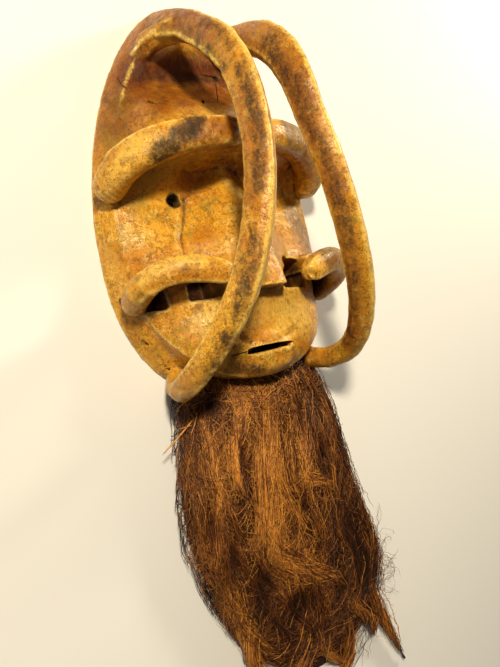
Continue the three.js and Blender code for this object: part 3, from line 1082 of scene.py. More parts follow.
    def thin_out(self, carving: bpy.types.Object) -> None:
        """Brings the mesh under its limit of triangles, the hidden hollow first.

        Args:
            carving: The painted carving.
        """
        mesh = carving.data
        points = points_of(mesh)
        normals = normals_of(mesh)
        hidden = ease(0.1, 0.5, -normals[:, 2]) * (1 - ease(60.0, 75.0, points[:, 2]))
        group = carving.vertex_groups.new(name="may be thinned")
        levels = np.round(6 * hidden).astype(int)
        for level in range(7):
            group.add(np.flatnonzero(levels == level).tolist(), 0.4 + 0.1 * level, "REPLACE")
        triangles = triangle_count(mesh)
        modifier = carving.modifiers.new("thin out", "DECIMATE")
        modifier.ratio = min(1.0, self.most_triangles / triangles)
        modifier.vertex_group = group.name
        apply_modifiers(carving)
        carving.vertex_groups.clear()
        log.info("carving: %d triangles before thinning, %d after", triangles, triangle_count(carving.data))

    def note_form(self, carving: bpy.types.Object) -> None:
        """Stores how far each place stands out of its surroundings, before holes are cut.

        Args:
            carving: The sculpted carving.
        """
        mesh = carving.data
        points = points_of(mesh)
        write_mask(mesh, "rise", ((points - relaxed(mesh, points, 10)) * normals_of(mesh)).sum(1))
        write_mask(mesh, "cut", np.zeros(len(points)))

    def paint(self, carving: bpy.types.Object) -> None:
        """Writes the masks that the finish reads, from the surface's form and from the marks' places.

        Args:
            carving: The carving with its holes and cracks.
        """
        mesh = carving.data
        points = points_of(mesh)
        rise, cut = read_mask(mesh, "rise"), read_mask(mesh, "cut")
        # The edge of a hole is darkened too, as painted shade, since the cutters' own points lie below it
        cut = np.maximum(cut, self.grime_and_shade_at_edges * (relaxed(mesh, cut, 1) > 0.01))
        form = {
            Tint.WEAR: ease(*self.worn_rise, rise) * (1 - cut),
            # Hollows are darkened as grime and painted shade, and the walls of holes and cracks as painted
            # shade
            Tint.CAVITY: np.maximum(ease(*self.grime_and_shade_fall, -rise), cut),
            # The walls of holes and cracks are painted dark and dull, as shade
            Tint.SOOT: self.soot_and_shade_in_cuts * cut,
        }
        for tint, strokes in PAINT_MARKS.items():
            cover = np.max([stroke.cover(points) for stroke in strokes], axis=0)
            write_mask(mesh, tint.value, np.maximum(cover, form.get(tint, 0.0)))


# Painted shade on the walls and floors of the four recesses under the cheek arcs
RECESS_SHADE = (
    Stroke(((-62, -84, 18), (-27, -84, 18)), 15.0),
    Stroke(((-60, -80, 38), (-28, -80, 38)), 12.0),
    Stroke(((62, -86, 18), (27, -86, 18)), 15.0),
    Stroke(((60, -84, 38), (28, -84, 38)), 12.0),
    Stroke(((-88, -90, 18), (-84, -90, 36)), 11.0),
    Stroke(((88, -94, 18), (84, -94, 36)), 11.0),
)

# Painted shade on the walls of the eye holes
EYE_WALL_SHADE = (
    Stroke(((-47.5, -8, 8), (-47.5, -8, 28)), 5.5, 3.0),
    Stroke(((47.5, -8, 8), (47.5, -8, 28)), 5.5, 3.0),
)

# Where each tint lies besides what the form gives: a line, its radius and its strength
PAINT_MARKS = {
    Tint.WEAR: (
        # Painted highlights along the near and far horns' right flanks
        Stroke(tuple((x + 9.5, y, z + 6.5) for x, y, z in LEFT_HORN[6:14]), 6.5, 0.8),
        Stroke(tuple((x + 9.5, y, z + 6.5) for x, y, z in RIGHT_HORN[4:12]), 6.0, 0.8),
        Stroke(((-3, 14, 42), (-3, -2, 52), (-1, -13, 59)), 4.0, 0.9),
        Stroke(((-50, -118, 55), (-20, -112, 66), (10, -108, 66), (40, -112, 58)), 14.0, 0.40),
        Stroke(((20, -128, 62), (44, -124, 52)), 12.0, 0.40),
        Stroke(((-104, 6, 46), (-98, 22, 58), (-86, 30, 66)), 8.0, 0.5),
        # Worn paint and painted highlights on the left cheek arc's top and the left rim's rounded edge
        Stroke(((-100, -74, 62), (-84, -66, 76), (-66, -68, 84)), 6.0, 0.6),
        Stroke(((-110, -37, 5), (-106, -59, 12), (-104, -76, 13)), 8.0, 0.35),
    ),
    Tint.CAVITY: (
        # Painted shade in the knot hole, and the painted shadow of the left brow arc over the socket beside
        # the nose
        Stroke(((28, 111, 12),), 4.5, 0.8),
        Stroke(((-16, 10, 34), (-30, 6, 30), (-44, 0, 27)), 9.0, 0.40),
        *RECESS_SHADE, *EYE_WALL_SHADE,
    ),
    Tint.SOOT: (
        Stroke(((-78, 16, 72), (-69, 22, 78), (-63, 27, 82), (-57, 32, 85), (-49, 38, 85)), 9.5, 1.25),
        Stroke(((-98, 6, 50), (-90, 12, 58), (-82, 14, 66)), 6.0, 0.55),
        Stroke(((-36, 100, 92), (-37, 84, 104), (-37, 66, 116)), 6.0, 0.8),
        Stroke(((-33, 60, 130), (-34, 40, 136), (-36, 20, 141), (-40, -5, 144), (-46, -33, 143)), 6.0, 0.85),
        Stroke(((-31, 112, 96), (-31, 96, 112), (-31, 78, 124)), 6.0, 0.7),
        Stroke(
            ((-50, -62, 136), (-56, -80, 134), (-67, -112, 122), (-75, -140, 103), (-81, -160, 80)),
            7.0, 1.0),
        Stroke(((-50, 120, 30), (-42, 136, 40), (-37, 128, 60), (-37, 104, 99)), 8.0, 0.45),
        Stroke(((19, 102, 111), (16, 79, 115), (16, 57, 128), (18, 21, 138)), 10.0, 0.8),
        Stroke(
            ((18, 21, 138), (25, -16, 143), (31, -45, 139), (40, -80, 133), (55, -118, 110), (72, -155, 74)),
            7.0, 0.75),
        Stroke(((-13, -162, 60), (-30, -156, 54)), 6.0, 0.9),
        # Painted shade: the shallow pit is darkened all over, as a deep hole would be
        Stroke(((44, -92, 87),), 4.0, 1.0),
        # A dark streak and the upper wall of the bowl under the crest: partly sooty stain, partly painted
        # shade
        Stroke(((-58, 102, 24), (-40, 107, 17), (-15, 109, 15), (10, 110, 15), (28, 110, 14)), 7.0, 0.8),
        Stroke(((-62, 112, 20), (-40, 122, 18), (-10, 126, 15), (20, 124, 14)), 14.0, 0.4),
        Stroke(((-85, -70, 75), (-68, -75, 82)), 5.0, 0.5),
        Stroke(((-80, -110, 42), (-70, -122, 46), (-60, -132, 46)), 9.0, 0.35),
        *EYE_WALL_SHADE,
    ),
    Tint.AGE: (
        # Brown darkening: partly old stain, partly painted shade on the rim's top, the horns, the bowl, the
        # brow arcs and the lower lip
        Stroke(
            ((-84, 92, 14), (-70, 118, 14), (-52, 138, 14), (-30, 154, 20), (0, 164, 12), (40, 150, 12)),
            20.0, 1.0),
        Stroke(((-27, 150, 30), (-27, 140, 50), (-27, 126, 70), (-27, 110, 92)), 20.0, 0.95),
        Stroke(((-27, 96, 105), (-27, 67, 124), (-28, 40, 132), (-32, 0, 136), (-40, -40, 135)), 13.0, 0.6),
        Stroke(((28, 137, 29), (29, 110, 88), (28, 77, 118), (28, 40, 130)), 20.0, 0.75),
        Stroke(
            ((22, 28, 131), (26, 0, 138), (34, -40, 137), (42, -70, 131), (56, -108, 114), (74, -148, 76)),
            9.0, 0.75),
        Stroke(((-66, 100, 22), (-42, 112, 18), (-15, 118, 16), (12, 120, 15), (34, 112, 14)), 13.0, 1.0),
        Stroke(((-80, 70, 24), (-60, 76, 34), (-30, 80, 32), (0, 82, 32), (20, 82, 30)), 30.0, 0.95),
        # Painted shadow of the near horn on the left brow arc's inner part
        Stroke(((-46, 30, 84), (-14, 30, 86)), 15.0, 1.0),
        Stroke(((-34, -160, 52), (0, -166, 56), (26, -160, 54)), 9.0, 0.7),
        Stroke(((10, 30, 86), (60, 28, 66)), 14.0, 0.25),
        Stroke(((96, -60, 20), (88, -110, 20), (60, -150, 20)), 18.0, 0.5),
    ),
    Tint.RUST: (
        # The bowl's red-brown band under the crest, and its floor: partly stain, partly painted shade under
        # the rim
        Stroke(((-62, 104, 24), (-42, 110, 18), (-15, 113, 16), (12, 114, 15), (30, 112, 15)), 15.0, 1.0),
        Stroke(((-60, 84, 30), (-30, 92, 26), (0, 94, 26), (24, 92, 26)), 12.0, 0.35),
        *RECESS_SHADE,
    ),
    Tint.OLIVE: (
        # Painted shade: the socket under the left brow arc is dimmed to olive
        Stroke(((-85, -5, 22), (-75, 9, 30), (-54, 19, 45), (-38, 20, 43)), 12.0, 0.9),
        Stroke(((-4, -104, 65), (20, -112, 60), (44, -116, 52)), 12.0, 0.30),
        Stroke(((24, -10, 40), (30, -40, 42), (34, -72, 46)), 15.0, 0.6),
        Stroke(((-42, 131, 38), (-37, 116, 66), (-37, 98, 90), (-37, 76, 110)), 5.0, 0.65),
        Stroke(((-78, 84, 22), (-86, 60, 22), (-94, 34, 20)), 12.0, 0.6),
        Stroke(((-96, 30, 50), (-104, 12, 36)), 10.0, 0.3),
    ),
    Tint.CHALK: (
        Stroke(CREST[:5], 2.2, 0.95),
        Stroke(((-38, 131, 50),), 3.0, 0.9),
        Stroke(((-38, 104, 99),), 3.0, 0.9),
        Stroke(((-100, 12, 58), (-96, 20, 62)), 4.0, 0.7),
    ),
}


@dataclass(frozen=True)
class Lock:
    """A lock of fibre that stands out, along a line seen from above the lying beard."""

    path: tuple[Station, ...]
    half_width: float
    strands: int
    tone: float
    twist: float = 0.0


@dataclass(frozen=True)
class Growth:
    """How one kind of loose strand grows. Each pair is a range, or a mean and a spread."""

    count: int
    # Range of the roots down the beard, and the widest share of its width
    down: Station
    wide: float
    # Mean and spread of the first heading, in radians from straight down
    heading: Station
    length: Station
    turning: float
    # Range of the share of the bundle's thickness, 1 at its surface
    depth: Station
    radius: Station
    # Mean and spread of the tone
    tone: Station
    margin: float = 0.0
    # How much painted shade the hollows give these strands
    darkening: float = 1.0
    # Range of the height of a strand's arch over the bundle
    arch: Station | None = None


# The matted strands under the locks are toned dark: partly the fibre's colour, partly painted shade
DEEP_MAT = Growth(
    count=1500, down=(146, 405), wide=0.98, heading=(0.05, 0.45), length=(45, 95), turning=0.30,
    depth=(0.50, 0.84), radius=(0.22, 0.50), tone=(-0.27, 0.10),
)
UPPER_MAT = replace(DEEP_MAT, depth=(0.74, 0.96))
CROSSING = Growth(
    count=1300, down=(180, 350), wide=0.95, heading=(0.05, 0.35), length=(35, 90), turning=0.36,
    depth=(1.0, 1.06), radius=(0.15, 0.30), tone=(0.18, 0.30), margin=2.0, darkening=0.8, arch=(0.5, 4.0),
)


# The locks that stand out: a line, its half width, its strands, its tone and its twist
GOLDEN_LOCKS = (
    Lock(((1, -186), (-9, -222), (-17, -246), (-20, -280), (-24, -305), (-14, -330)), 8.0, 150, 0.80),
    Lock(((-20, -290), (-14, -320), (8, -342), (34, -356), (52, -366), (62, -386)), 6.0, 190, 0.85, 0.6),
    Lock(((-12, -181), (-28, -200), (-38, -224), (-40, -248), (-34, -268)), 4.0, 110, 0.92),
    Lock(((6, -200), (2, -232), (2, -262), (12, -290), (24, -318)), 6.5, 120, 0.76),
    Lock(((20, -258), (34, -268), (52, -276), (68, -288)), 4.5, 90, 0.84),
    Lock(((47, -184), (44, -210), (36, -240), (24, -262)), 6.0, 80, 0.66),
    Lock(((-62, -186), (-56, -214), (-58, -246), (-50, -276)), 5.0, 70, 0.66),
    Lock(((84, -214), (92, -250), (94, -290)), 4.0, 50, 0.55),
    Lock(((-61, -330), (-60, -352), (-52, -386), (-34, -408), (-12, -420)), 2.2, 60, 0.55, 1.0),
)

# Loose tails at the beard's end: x, y, z and the tail's half width at each station
TAILS = (
    ((88, -362, 14, 14), (100, -398, 13, 10), (113, -434, 11, 8), (123, -456, 9, 6.5), (134, -482, 7, 4)),
    ((62, -384, 20, 12), (74, -404, 18, 9), (88, -420, 15, 7), (97, -432, 12, 6), (98, -446, 9, 4)),
    ((52, -392, 14, 14), (63, -424, 11, 12), (60, -454, 9, 9), (42, -474, 6, 5)),
    ((6, -380, 14, 16), (10, -412, 11, 13), (2, -438, 8, 9), (-8, -450, 6, 5)),
    ((-42, -348, 14, 12), (-46, -380, 12, 9), (-40, -414, 9, 7), (-22, -440, 7, 5)),
    ((22, -400, 14, 11), (34, -430, 11, 8), (52, -450, 8, 6), (74, -452, 6, 4)),
)

# A wave starts anywhere up to just under a full turn
LAST_PHASE = 6.28

# Hollows in the bundle, sunk and painted with shade: x, y, half width, half length and depth
HOLLOWS = (
    (-48, -184, 10, 8, 0.9), (-24, -346, 15, 22, 1.0), (-53, -318, 8, 20, 0.9), (8, -374, 22, 14, 0.9),
    (57, -250, 7, 14, 0.85), (-31, -240, 4, 24, 0.9), (76, -322, 18, 26, 0.5), (24, -288, 5, 12, 0.8),
    (-66, -284, 7, 18, 0.7), (22, -410, 18, 9, 0.7), (66, -196, 8, 12, 0.6), (36, -212, 3, 16, 0.7),
)


@dataclass
class FibreBeard:
    """The bundle of plant fibre under the chin: a core painted dark as shade, and its strands."""

    node: str = "fibre_beard"
    seed: int = 41
    steps: int = 11
    # How far a strand's steps are knocked about, across and in height
    ruffle: Station = (0.55, 0.40)
    # Strands turn back at this share of the half width, and below this y over this distance
    turn_share: float = 0.86
    turn_y: float = -370.0
    turn_room: float = 78.0
    tail_strands: int = 150
    core_voxel: float = 3.0
    core_rounds: int = 14
    core_inset: float = 4.5
    # Stations down the beard: y, left edge, right edge and thickness
    outline: tuple[tuple[float, float, float, float], ...] = (
        (-150, -64, 74, 26), (-180, -72, 88, 35), (-215, -78, 97, 38), (-260, -86, 104, 37),
        (-300, -85, 112, 34), (-335, -75, 121, 30), (-365, -64, 128, 26), (-390, -48, 120, 22),
        (-412, -30, 102, 18), (-432, -6, 82, 14), (-450, 20, 62, 8),
    )
    rng: np.random.Generator = field(init=False)

    def __post_init__(self) -> None:
        """Seeds the draws, so that each run gives the same strands."""
        self.rng = np.random.default_rng(self.seed)

    def build(self) -> list[bpy.types.Object]:
        """Makes the core and the layers of strands.

        Returns:
            The pieces of the beard.
        """
        fibre = PlantFibre().material()
        core = self.core()
        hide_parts(self.node)
        layers = [
            self.strands("beard_matted_fibre", [self.grow(DEEP_MAT), self.grow(UPPER_MAT)]),
            self.strands("beard_combed_locks", [self.combed(locks=76, each=46)]),
            self.strands("beard_golden_locks", [
                *map(self.golden, GOLDEN_LOCKS), *map(self.tail, TAILS), self.felt(1700),
            ]),
            self.strands("beard_chin_curls", [
                self.curls(1700), self.wisps(320), self.flyaways(80), self.grow(CROSSING),
            ]),
            self.straw(),
        ]
        for piece in [core, *layers]:
            piece.data.materials.append(fibre)
            select_only(piece)
            bpy.ops.object.shade_smooth()
            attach(piece, BODY)
        return [core, *layers]

    def core(self) -> bpy.types.Object:
        """Makes the body of the bundle, painted dark as shade, a little inside the strands.

        Returns:
            The core's object.
        """
        core = solid_copy(self.node, "beard_core")
        for name, kind in (("even mesh", "REMESH"), ("rounded", "SMOOTH"), ("shrink", "DISPLACE")):
            modifier = core.modifiers.new(name, kind)
            if kind == "REMESH":
                modifier.mode = "VOXEL"
                modifier.voxel_size = self.core_voxel * MILLIMETRE
            elif kind == "SMOOTH":
                modifier.iterations = self.core_rounds
            else:
                modifier.strength = -self.core_inset * MILLIMETRE
                modifier.mid_level = 0.0
        apply_modifiers(core)
        # The core gets the darkest tone, as painted shade deep in the bundle
        write_mask(core.data, "tone", np.zeros(len(core.data.vertices)))
        return core

    def station(self, y: np.ndarray) -> tuple[np.ndarray, np.ndarray, np.ndarray]:
        """Returns the bundle's left edge, right edge and thickness at places down the beard."""
        rows = np.array(self.outline)[::-1]
        return tuple(np.interp(y, rows[:, 0], rows[:, k]) for k in (1, 2, 3))

    def across(self, y: np.ndarray, share: np.ndarray) -> np.ndarray:
        """Returns the x at a share of the bundle's width, from -1 at its left edge to 1."""
        left, right, _ = self.station(y)
        return left + (right - left) * (share + 1) / 2

    def lay(self, x: np.ndarray, y: np.ndarray, depth: np.ndarray) -> tuple[np.ndarray, np.ndarray]:
        """Lays places on or in the bundle.

        Args:
            x: Places across, in millimetres.
            y: Places down the beard.
            depth: Share of the bundle's thickness, 1 at its surface.

        Returns:
            The heights, and how deep in one of the hollows each place is.
        """
        left, right, thick = self.station(y)
        share = np.clip(2 * (x - left) / (right - left) - 1, -0.99, 0.99)
        pit = np.zeros(np.broadcast(x, y).shape)
        for middle_x, middle_y, wide, long, deep in HOLLOWS:
            away = ((x - middle_x) / wide) ** 2 + ((y - middle_y) / long) ** 2
            pit = np.maximum(pit, deep * np.exp(-away))
        return 3 + (thick - 3) * np.sqrt(1 - share**2) * depth * (1 - 0.32 * pit), pit

    def shade(self, x: np.ndarray, y: np.ndarray) -> np.ndarray:
        """Works out the bundle's tone: golden down the middle, and darker to the right and towards the end as
        painted shade.

        Args:
            x: Places across, in millimetres.
            y: Places down the beard.

        Returns:
            The tones, from 0 for dark to 1 for golden.
        """
        middle = 0.26 * bell(x + 12, 28.0) * (1 - ease(330.0, 390.0, -y))
        clumps = 0.15 * np.sin(x / 9.0 + 2.1 * np.sin(y / 31.0)) * np.sin(y / 37.0 + 1.7 * np.sin(x / 23.0))
        # Darker to the right and towards the end: painted shade
        return 0.36 + middle + clumps - 0.17 * ease(20.0, 90.0, x) - 0.12 * ease(300.0, 400.0, -y)

    def finish(self, x: np.ndarray, y: np.ndarray, z: np.ndarray, pit: np.ndarray, radius: np.ndarray,
               tone: np.ndarray) -> Group:
        """Packs a group of strands.

        Args:
            x: Strand by step, in millimetres.
            y: The same.
            z: The same.
            pit: How deep in a hollow each step is, which darkens it as painted shade.
            radius: Half thickness of each strand.
            tone: Each strand's offset from the bundle's tone.

        Returns:
            Points, radii and tones of the group.
        """
        across, high = self.ruffle
        x = x + self.rng.normal(0, across, x.shape)
        z = z + self.rng.normal(0, high, x.shape)
        # Strands in a hollow are painted darker, as shade
        shades = np.clip((self.shade(x, y) + tone[:, None]) * (1 - 0.85 * pit), 0.02, 1.0)
        return np.stack([x, y, np.maximum(z, radius[:, None] + 0.1)], 2), radius, shades

    def kept_in(self, x: np.ndarray, y: np.ndarray, margin: float = 0.0) -> tuple[np.ndarray, np.ndarray]:
        """Bends strands along the bundle's outline where they would leave it.

        Args:
            x: Places across, in millimetres.
            y: Places down the beard.
            margin: How far outside the outline they may run; most turn back before it.

        Returns:
            The places inside the outline.
        """
        reach = self.rng.uniform(-14, 3, (len(x), 1)) + margin
        low = self.turn_y - (self.turn_room + reach) * np.tanh((self.turn_y - y) / self.turn_room)
        y = np.where(y < self.turn_y, low, y)
        left, right, _ = self.station(y)
        half = (right - left) / 2 + np.minimum(reach, 4.5)
        share = (x - (left + right) / 2) / half
        over = np.maximum(0.0, np.abs(share) - self.turn_share)
        rest = 1 - self.turn_share
        share = np.where(over > 0, np.sign(share) * (self.turn_share + rest * np.tanh(over / rest)), share)
        return (left + right) / 2 + share * half, y

    def wander(self, x: np.ndarray, y: np.ndarray, heading: np.ndarray, length: np.ndarray, turning: float,
               bend: np.ndarray | float = 0.0) -> tuple[np.ndarray, np.ndarray]:
        """Walks strands from their roots with a heading that drifts.

        Args:
            x: Each root's x.
            y: Each root's y.
            heading: Each strand's first heading from straight down the beard, in radians.
            length: Each strand's length.
            turning: How much the heading changes by chance each step.
            bend: How much each strand turns one way each step, as a column.

        Returns:
            The x and y of each strand's steps.
        """
        count = len(x)
        turns = np.cumsum(self.rng.normal(0, turning, (count, self.steps - 1)), axis=1)
        angle = heading[:, None] + bend * np.arange(self.steps - 1)[None, :] + turns
        stride = (length / (self.steps - 1))[:, None]
        across = np.cumsum(np.sin(angle) * stride, axis=1)
        down = np.cumsum(np.cos(angle) * stride, axis=1)
        zero = np.zeros((count, 1))
        return x[:, None] + np.hstack([zero, across]), y[:, None] - np.hstack([zero, down])

    def wave(self, along: np.ndarray, height: Station, length: Station) -> np.ndarray:
        """Draws a wave for each strand.

        Args:
            along: Strand by step, the way along the strand.
            height: Range of the waves' heights.
            length: Range of the way over which a wave turns by one radian.

        Returns:
            The sideways offset of each step.
        """
        rng, shape = self.rng, (len(along), 1)
        size = rng.uniform(*height, shape)
        return size * np.sin(along / rng.uniform(*length, shape) + rng.uniform(0, LAST_PHASE, shape))

    def grow(self, kind: Growth) -> Group:
        """Makes strands that wander from roots all over the bundle.

        Args:
            kind: How they grow.

        Returns:
            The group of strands.
        """
        rng, count = self.rng, kind.count
        y = -rng.uniform(*kind.down, count)
        x = self.across(y, rng.uniform(-kind.wide, kind.wide, count))
        heading, length = rng.normal(*kind.heading, count), rng.uniform(*kind.length, count)
        x, y = self.wander(x, y, heading, length, kind.turning)
        x, y = self.kept_in(x, y, kind.margin)
        z, pit = self.lay(x, y, rng.uniform(*kind.depth, (count, 1)))
        if kind.arch:
            arch = np.sin(math.pi * np.linspace(0, 1, self.steps))[None, :]
            z = z + rng.uniform(*kind.arch, (count, 1)) * arch
        radius, tone = rng.uniform(*kind.radius, count), rng.normal(*kind.tone, count)
        return self.finish(x, y, z, kind.darkening * pit, radius, tone)

    def combed(self, locks: int, each: int) -> Group:
        """Makes locks of combed strands that gather to their tips, each with a rounded back.

        Args:
            locks: How many locks.
            each: How many strands a lock has.

        Returns:
            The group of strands.
        """
        rng = self.rng
        count = locks * each
        lock = np.repeat(np.arange(locks), each)
        spread = np.linspace(-0.95, 0.95, locks)[rng.permutation(locks)]
        at_chin = rng.random(locks) < 0.50
        start = np.where(at_chin, -rng.uniform(152, 215, locks), -rng.uniform(215, 350, locks))
        long = rng.uniform(65, 130, locks)
        drift = rng.normal(0, 0.09, locks)
        sway, lift = rng.uniform(0, 2 * math.pi, locks), rng.uniform(3.0, 8.0, locks)
        half = rng.uniform(4.0, 10.0, locks)
        t = np.linspace(0, 1, self.steps)[None, :]
        u = rng.normal(0, 0.75, (count, 1))
        begin = start[lock][:, None] - rng.uniform(0, 0.30, (count, 1)) * long[lock][:, None]
        y = begin - long[lock][:, None] * rng.uniform(0.5, 1.0, (count, 1)) * t
        share = spread[lock][:, None] + drift[lock][:, None] * t
        share = share + 0.035 * np.sin(y / 24 + sway[lock][:, None])
        gather = half[lock][:, None] * (1.0 - 0.60 * ease(0.1, 0.9, t))
        wave = self.wave(y, (0.5, 2.4), (3.5, 9))
        sweep = 5.0 * np.sin(y / 29 + 2.0 * sway[lock][:, None]) * t
        x, y = self.kept_in(self.across(y, np.clip(share, -1, 1)) + u * gather + wave + sweep, y)
        z, pit = self.lay(x, y, rng.uniform(0.88, 1.0, (count, 1)))
        crown = np.exp(-1.3 * u**2)
        z = z + lift[lock][:, None] * crown * np.sin(math.pi * np.clip(t + 0.1, 0, 1)) + 0.5 * wave
        # Strands on a lock's crown are painted lighter and those at its sides darker, as painted light and
        # shade
        tone = rng.normal(-0.06, 0.14, locks)[lock] + rng.normal(0, 0.25, count) + 0.40 * (crown[:, 0] - 0.6)
        return self.finish(x, y, z, pit, rng.uniform(0.16, 0.38, count), tone)

    def golden(self, lock: Lock) -> Group:
        """Makes one lock that stands out over the others.

        Args:
            lock: The lock.

        Returns:
            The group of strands.
        """
        rng = self.rng
        count = lock.strands
        line = smooth_path([(x, y, 0.0) for x, y in lock.path], 60)
        t = np.linspace(0, 1, self.steps)[None, :]
        begin, end = rng.uniform(0, 0.35, (count, 1)), rng.uniform(0.70, 1.0, (count, 1))
        along = (begin + (end - begin) * t) * (len(line) - 1)
        index = along.astype(int)
        side = np.gradient(line, axis=0)
        side = np.stack([-side[:, 1], side[:, 0]], 1) / np.linalg.norm(side, axis=1)[:, None]
        turn = rng.uniform(0, 2 * math.pi, (count, 1)) + lock.twist * 2 * math.pi * along / len(line)
        out = lock.half_width * np.abs(rng.normal(0, 1.05, (count, 1)))
        out = out * (1 - 0.5 * ease(0.2, 0.8, along / len(line))) + 3.0 * rng.random((count, 1)) * t**3
        wave = self.wave(along, (0.3, 1.8), (3, 7))
        offset = out * np.cos(turn) + wave
        x, y = (line[index, axis] + side[index, axis] * offset for axis in (0, 1))
        x, y = self.kept_in(x, y)
        z, pit = self.lay(x, y, np.ones((count, 1)))
        z = z + 2.2 + 0.35 * out * np.abs(np.sin(turn)) + 0.5 * wave
        # Strands out at the lock's sides are painted darker, as shade
        edge = 0.22 * np.minimum(1.5, out[:, 0] / lock.half_width)
        tone = lock.tone - 0.25 + rng.normal(0, 0.25, count) - edge
        return self.finish(x, y, z, 0.5 * pit, rng.uniform(0.22, 0.46, count), tone)

    def tail(self, stations: tuple[tuple[float, float, float, float], ...]) -> Group:
        """Makes one loose tail of twisted strands at the beard's end.

        Args:
            stations: The tail's line: x, y, z and half width.

        Returns:
            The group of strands.
        """
        rng, count = self.rng, self.tail_strands
        line = smooth_path(list(stations), 60)
        t = np.linspace(0, 1, self.steps)[None, :]
        begin, end = rng.uniform(0, 0.5, (count, 1)), rng.uniform(0.66, 1.0, (count, 1))
        index = ((begin + (end - begin) * t) * (len(line) - 1)).astype(int)
        turn = rng.uniform(0, 2 * math.pi, (count, 1)) + index / len(line) * rng.normal(4.0, 1.2, (count, 1))
        out = 0.75 * np.abs(rng.normal(0, 0.75, (count, 1)))
        wave = self.wave(index, (0.1, 0.9), (2.5, 6))
        x = line[index, 0] + line[index, 3] * out * np.cos(turn) + wave
        y = line[index, 1] + 0.5 * wave
        z = line[index, 2] + 0.6 * line[index, 3] * out * np.sin(turn)
        tone = rng.normal(0.46, 0.16, count)
        return self.finish(x, y, z, np.zeros_like(x), rng.uniform(0.22, 0.50, count), tone)

    def felt(self, count: int) -> Group:
        """Makes the netted, looping strands of the beard's lower half.

        Args:
            count: How many strands.

        Returns:
            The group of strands.
        """
        rng = self.rng
        y = -rng.triangular(230, 400, 440, count)
        x = self.across(y, rng.uniform(-0.97, 0.97, count))
        heading = rng.normal(0.1, 0.9, count)
        bend = rng.choice((-1.0, 1.0), count) * rng.uniform(0.0, 0.38, count)
        x, y = self.wander(x, y, heading, rng.uniform(30, 80, count), 0.22, bend[:, None])
        x, y = self.kept_in(x, y, 1.5)
        z, pit = self.lay(x, y, rng.uniform(0.92, 1.08, (count, 1)))
        z = z + rng.uniform(0, 1.5, (count, 1))
        return self.finish(x, y, z, 0.85 * pit, rng.uniform(0.14, 0.34, count), rng.normal(0.02, 0.26, count))

    def curls(self, count: int) -> Group:
        """Makes the crinkled, paler strands that come out from under the chin.

        Args:
            count: How many strands.

        Returns:
            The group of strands.
        """
        rng = self.rng
        share = rng.uniform(-0.96, 0.96, count)
        y = -rng.uniform(162, 186, count) + 16 * np.abs(share) ** 1.5
        x = self.across(y, share)
        clump = np.round(share * 14) / 14 + 0.02 * np.sin(share * 90)
        x = x + (self.across(y, clump) - x) * rng.uniform(0.3, 1.0, count)
        x, y = self.wander(x, y, rng.normal(0.0, 0.40, count) + 0.1 * share, rng.uniform(24, 66, count), 0.50)
        x, y = self.kept_in(x, y, 3.0)
        z, pit = self.lay(x, y, rng.uniform(0.84, 1.06, (count, 1)))
        z = z + rng.uniform(-0.6, 3.5, (count, 1)) + rng.normal(0, 1.0, x.shape)
        fade = 0.16 * (1 - ease(180.0, 225.0, -y.mean(1)))
        radius, tone = rng.uniform(0.20, 0.46, count), fade + rng.normal(-0.06, 0.28, count)
        return self.finish(x, y, z, 0.8 * pit, radius, tone)

    def wisps(self, count: int) -> Group:
        """Makes thin strands that stand off the bundle's sides.

        Args:
            count: How many strands.

        Returns:
            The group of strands.
        """
        rng = self.rng
        side = rng.choice((-1.0, 1.0), count)
        y = -rng.uniform(170, 390, count)
        x = self.across(y, side * rng.uniform(0.90, 1.0, count))
        x, y = self.wander(x, y, side * rng.uniform(-0.25, 0.40, count), rng.uniform(22, 60, count), 0.34)
        x, y = self.kept_in(x, y, 4.5)
        z, pit = self.lay(x, y, np.ones((count, 1)))
        z = z + rng.uniform(1, 10, (count, 1))
        return self.finish(x, y, z, pit, rng.uniform(0.16, 0.30, count), rng.normal(0.10, 0.15, count))

    def flyaways(self, count: int) -> Group:
        """Makes a few faint, curled strands beyond the right side of the beard's end.

        Args:
            count: How many strands.

        Returns:
            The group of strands.
        """
        rng = self.rng
        farthest_x, lowest_y = 146, -486
        y = -rng.uniform(340, 440, count)
        x = self.station(y)[1] - rng.uniform(-2, 12, count)
        x, y = self.wander(x, y, rng.normal(0.7, 0.6, count), rng.uniform(20, 46, count), 0.55)
        x, y = np.minimum(x, farthest_x), np.maximum(y, lowest_y)
        z = 6 + rng.uniform(0, 10, (count, 1)) + np.zeros_like(x)
        radius, tone = rng.uniform(0.14, 0.24, count), rng.normal(0.18, 0.12, count)
        return self.finish(x, y, z, np.zeros_like(x), radius, tone)

    def straw(self) -> bpy.types.Object:
        """Makes the stiff golden straw that sticks out at the left under the horn's foot.

        Returns:
            The straw's object.
        """
        t = np.linspace(0, 1, self.steps)[None, :]
        roots = np.array(((-62, -190, 22), (-64, -196, 20), (-60, -186, 24)), float)
        tips = np.array(((-96, -214, 18), (-80, -196, 24), (-72, -204, 26)), float)
        points = roots[:, None, :] + (tips - roots)[:, None, :] * t[:, :, None]
        points[:, :, 2] += 1.5 * np.sin(math.pi * t)
        radius, tone = np.array((0.85, 0.5, 0.4)), np.full(points.shape[:2], 0.98)
        return self.strands("beard_straw", [(points, radius, tone)])

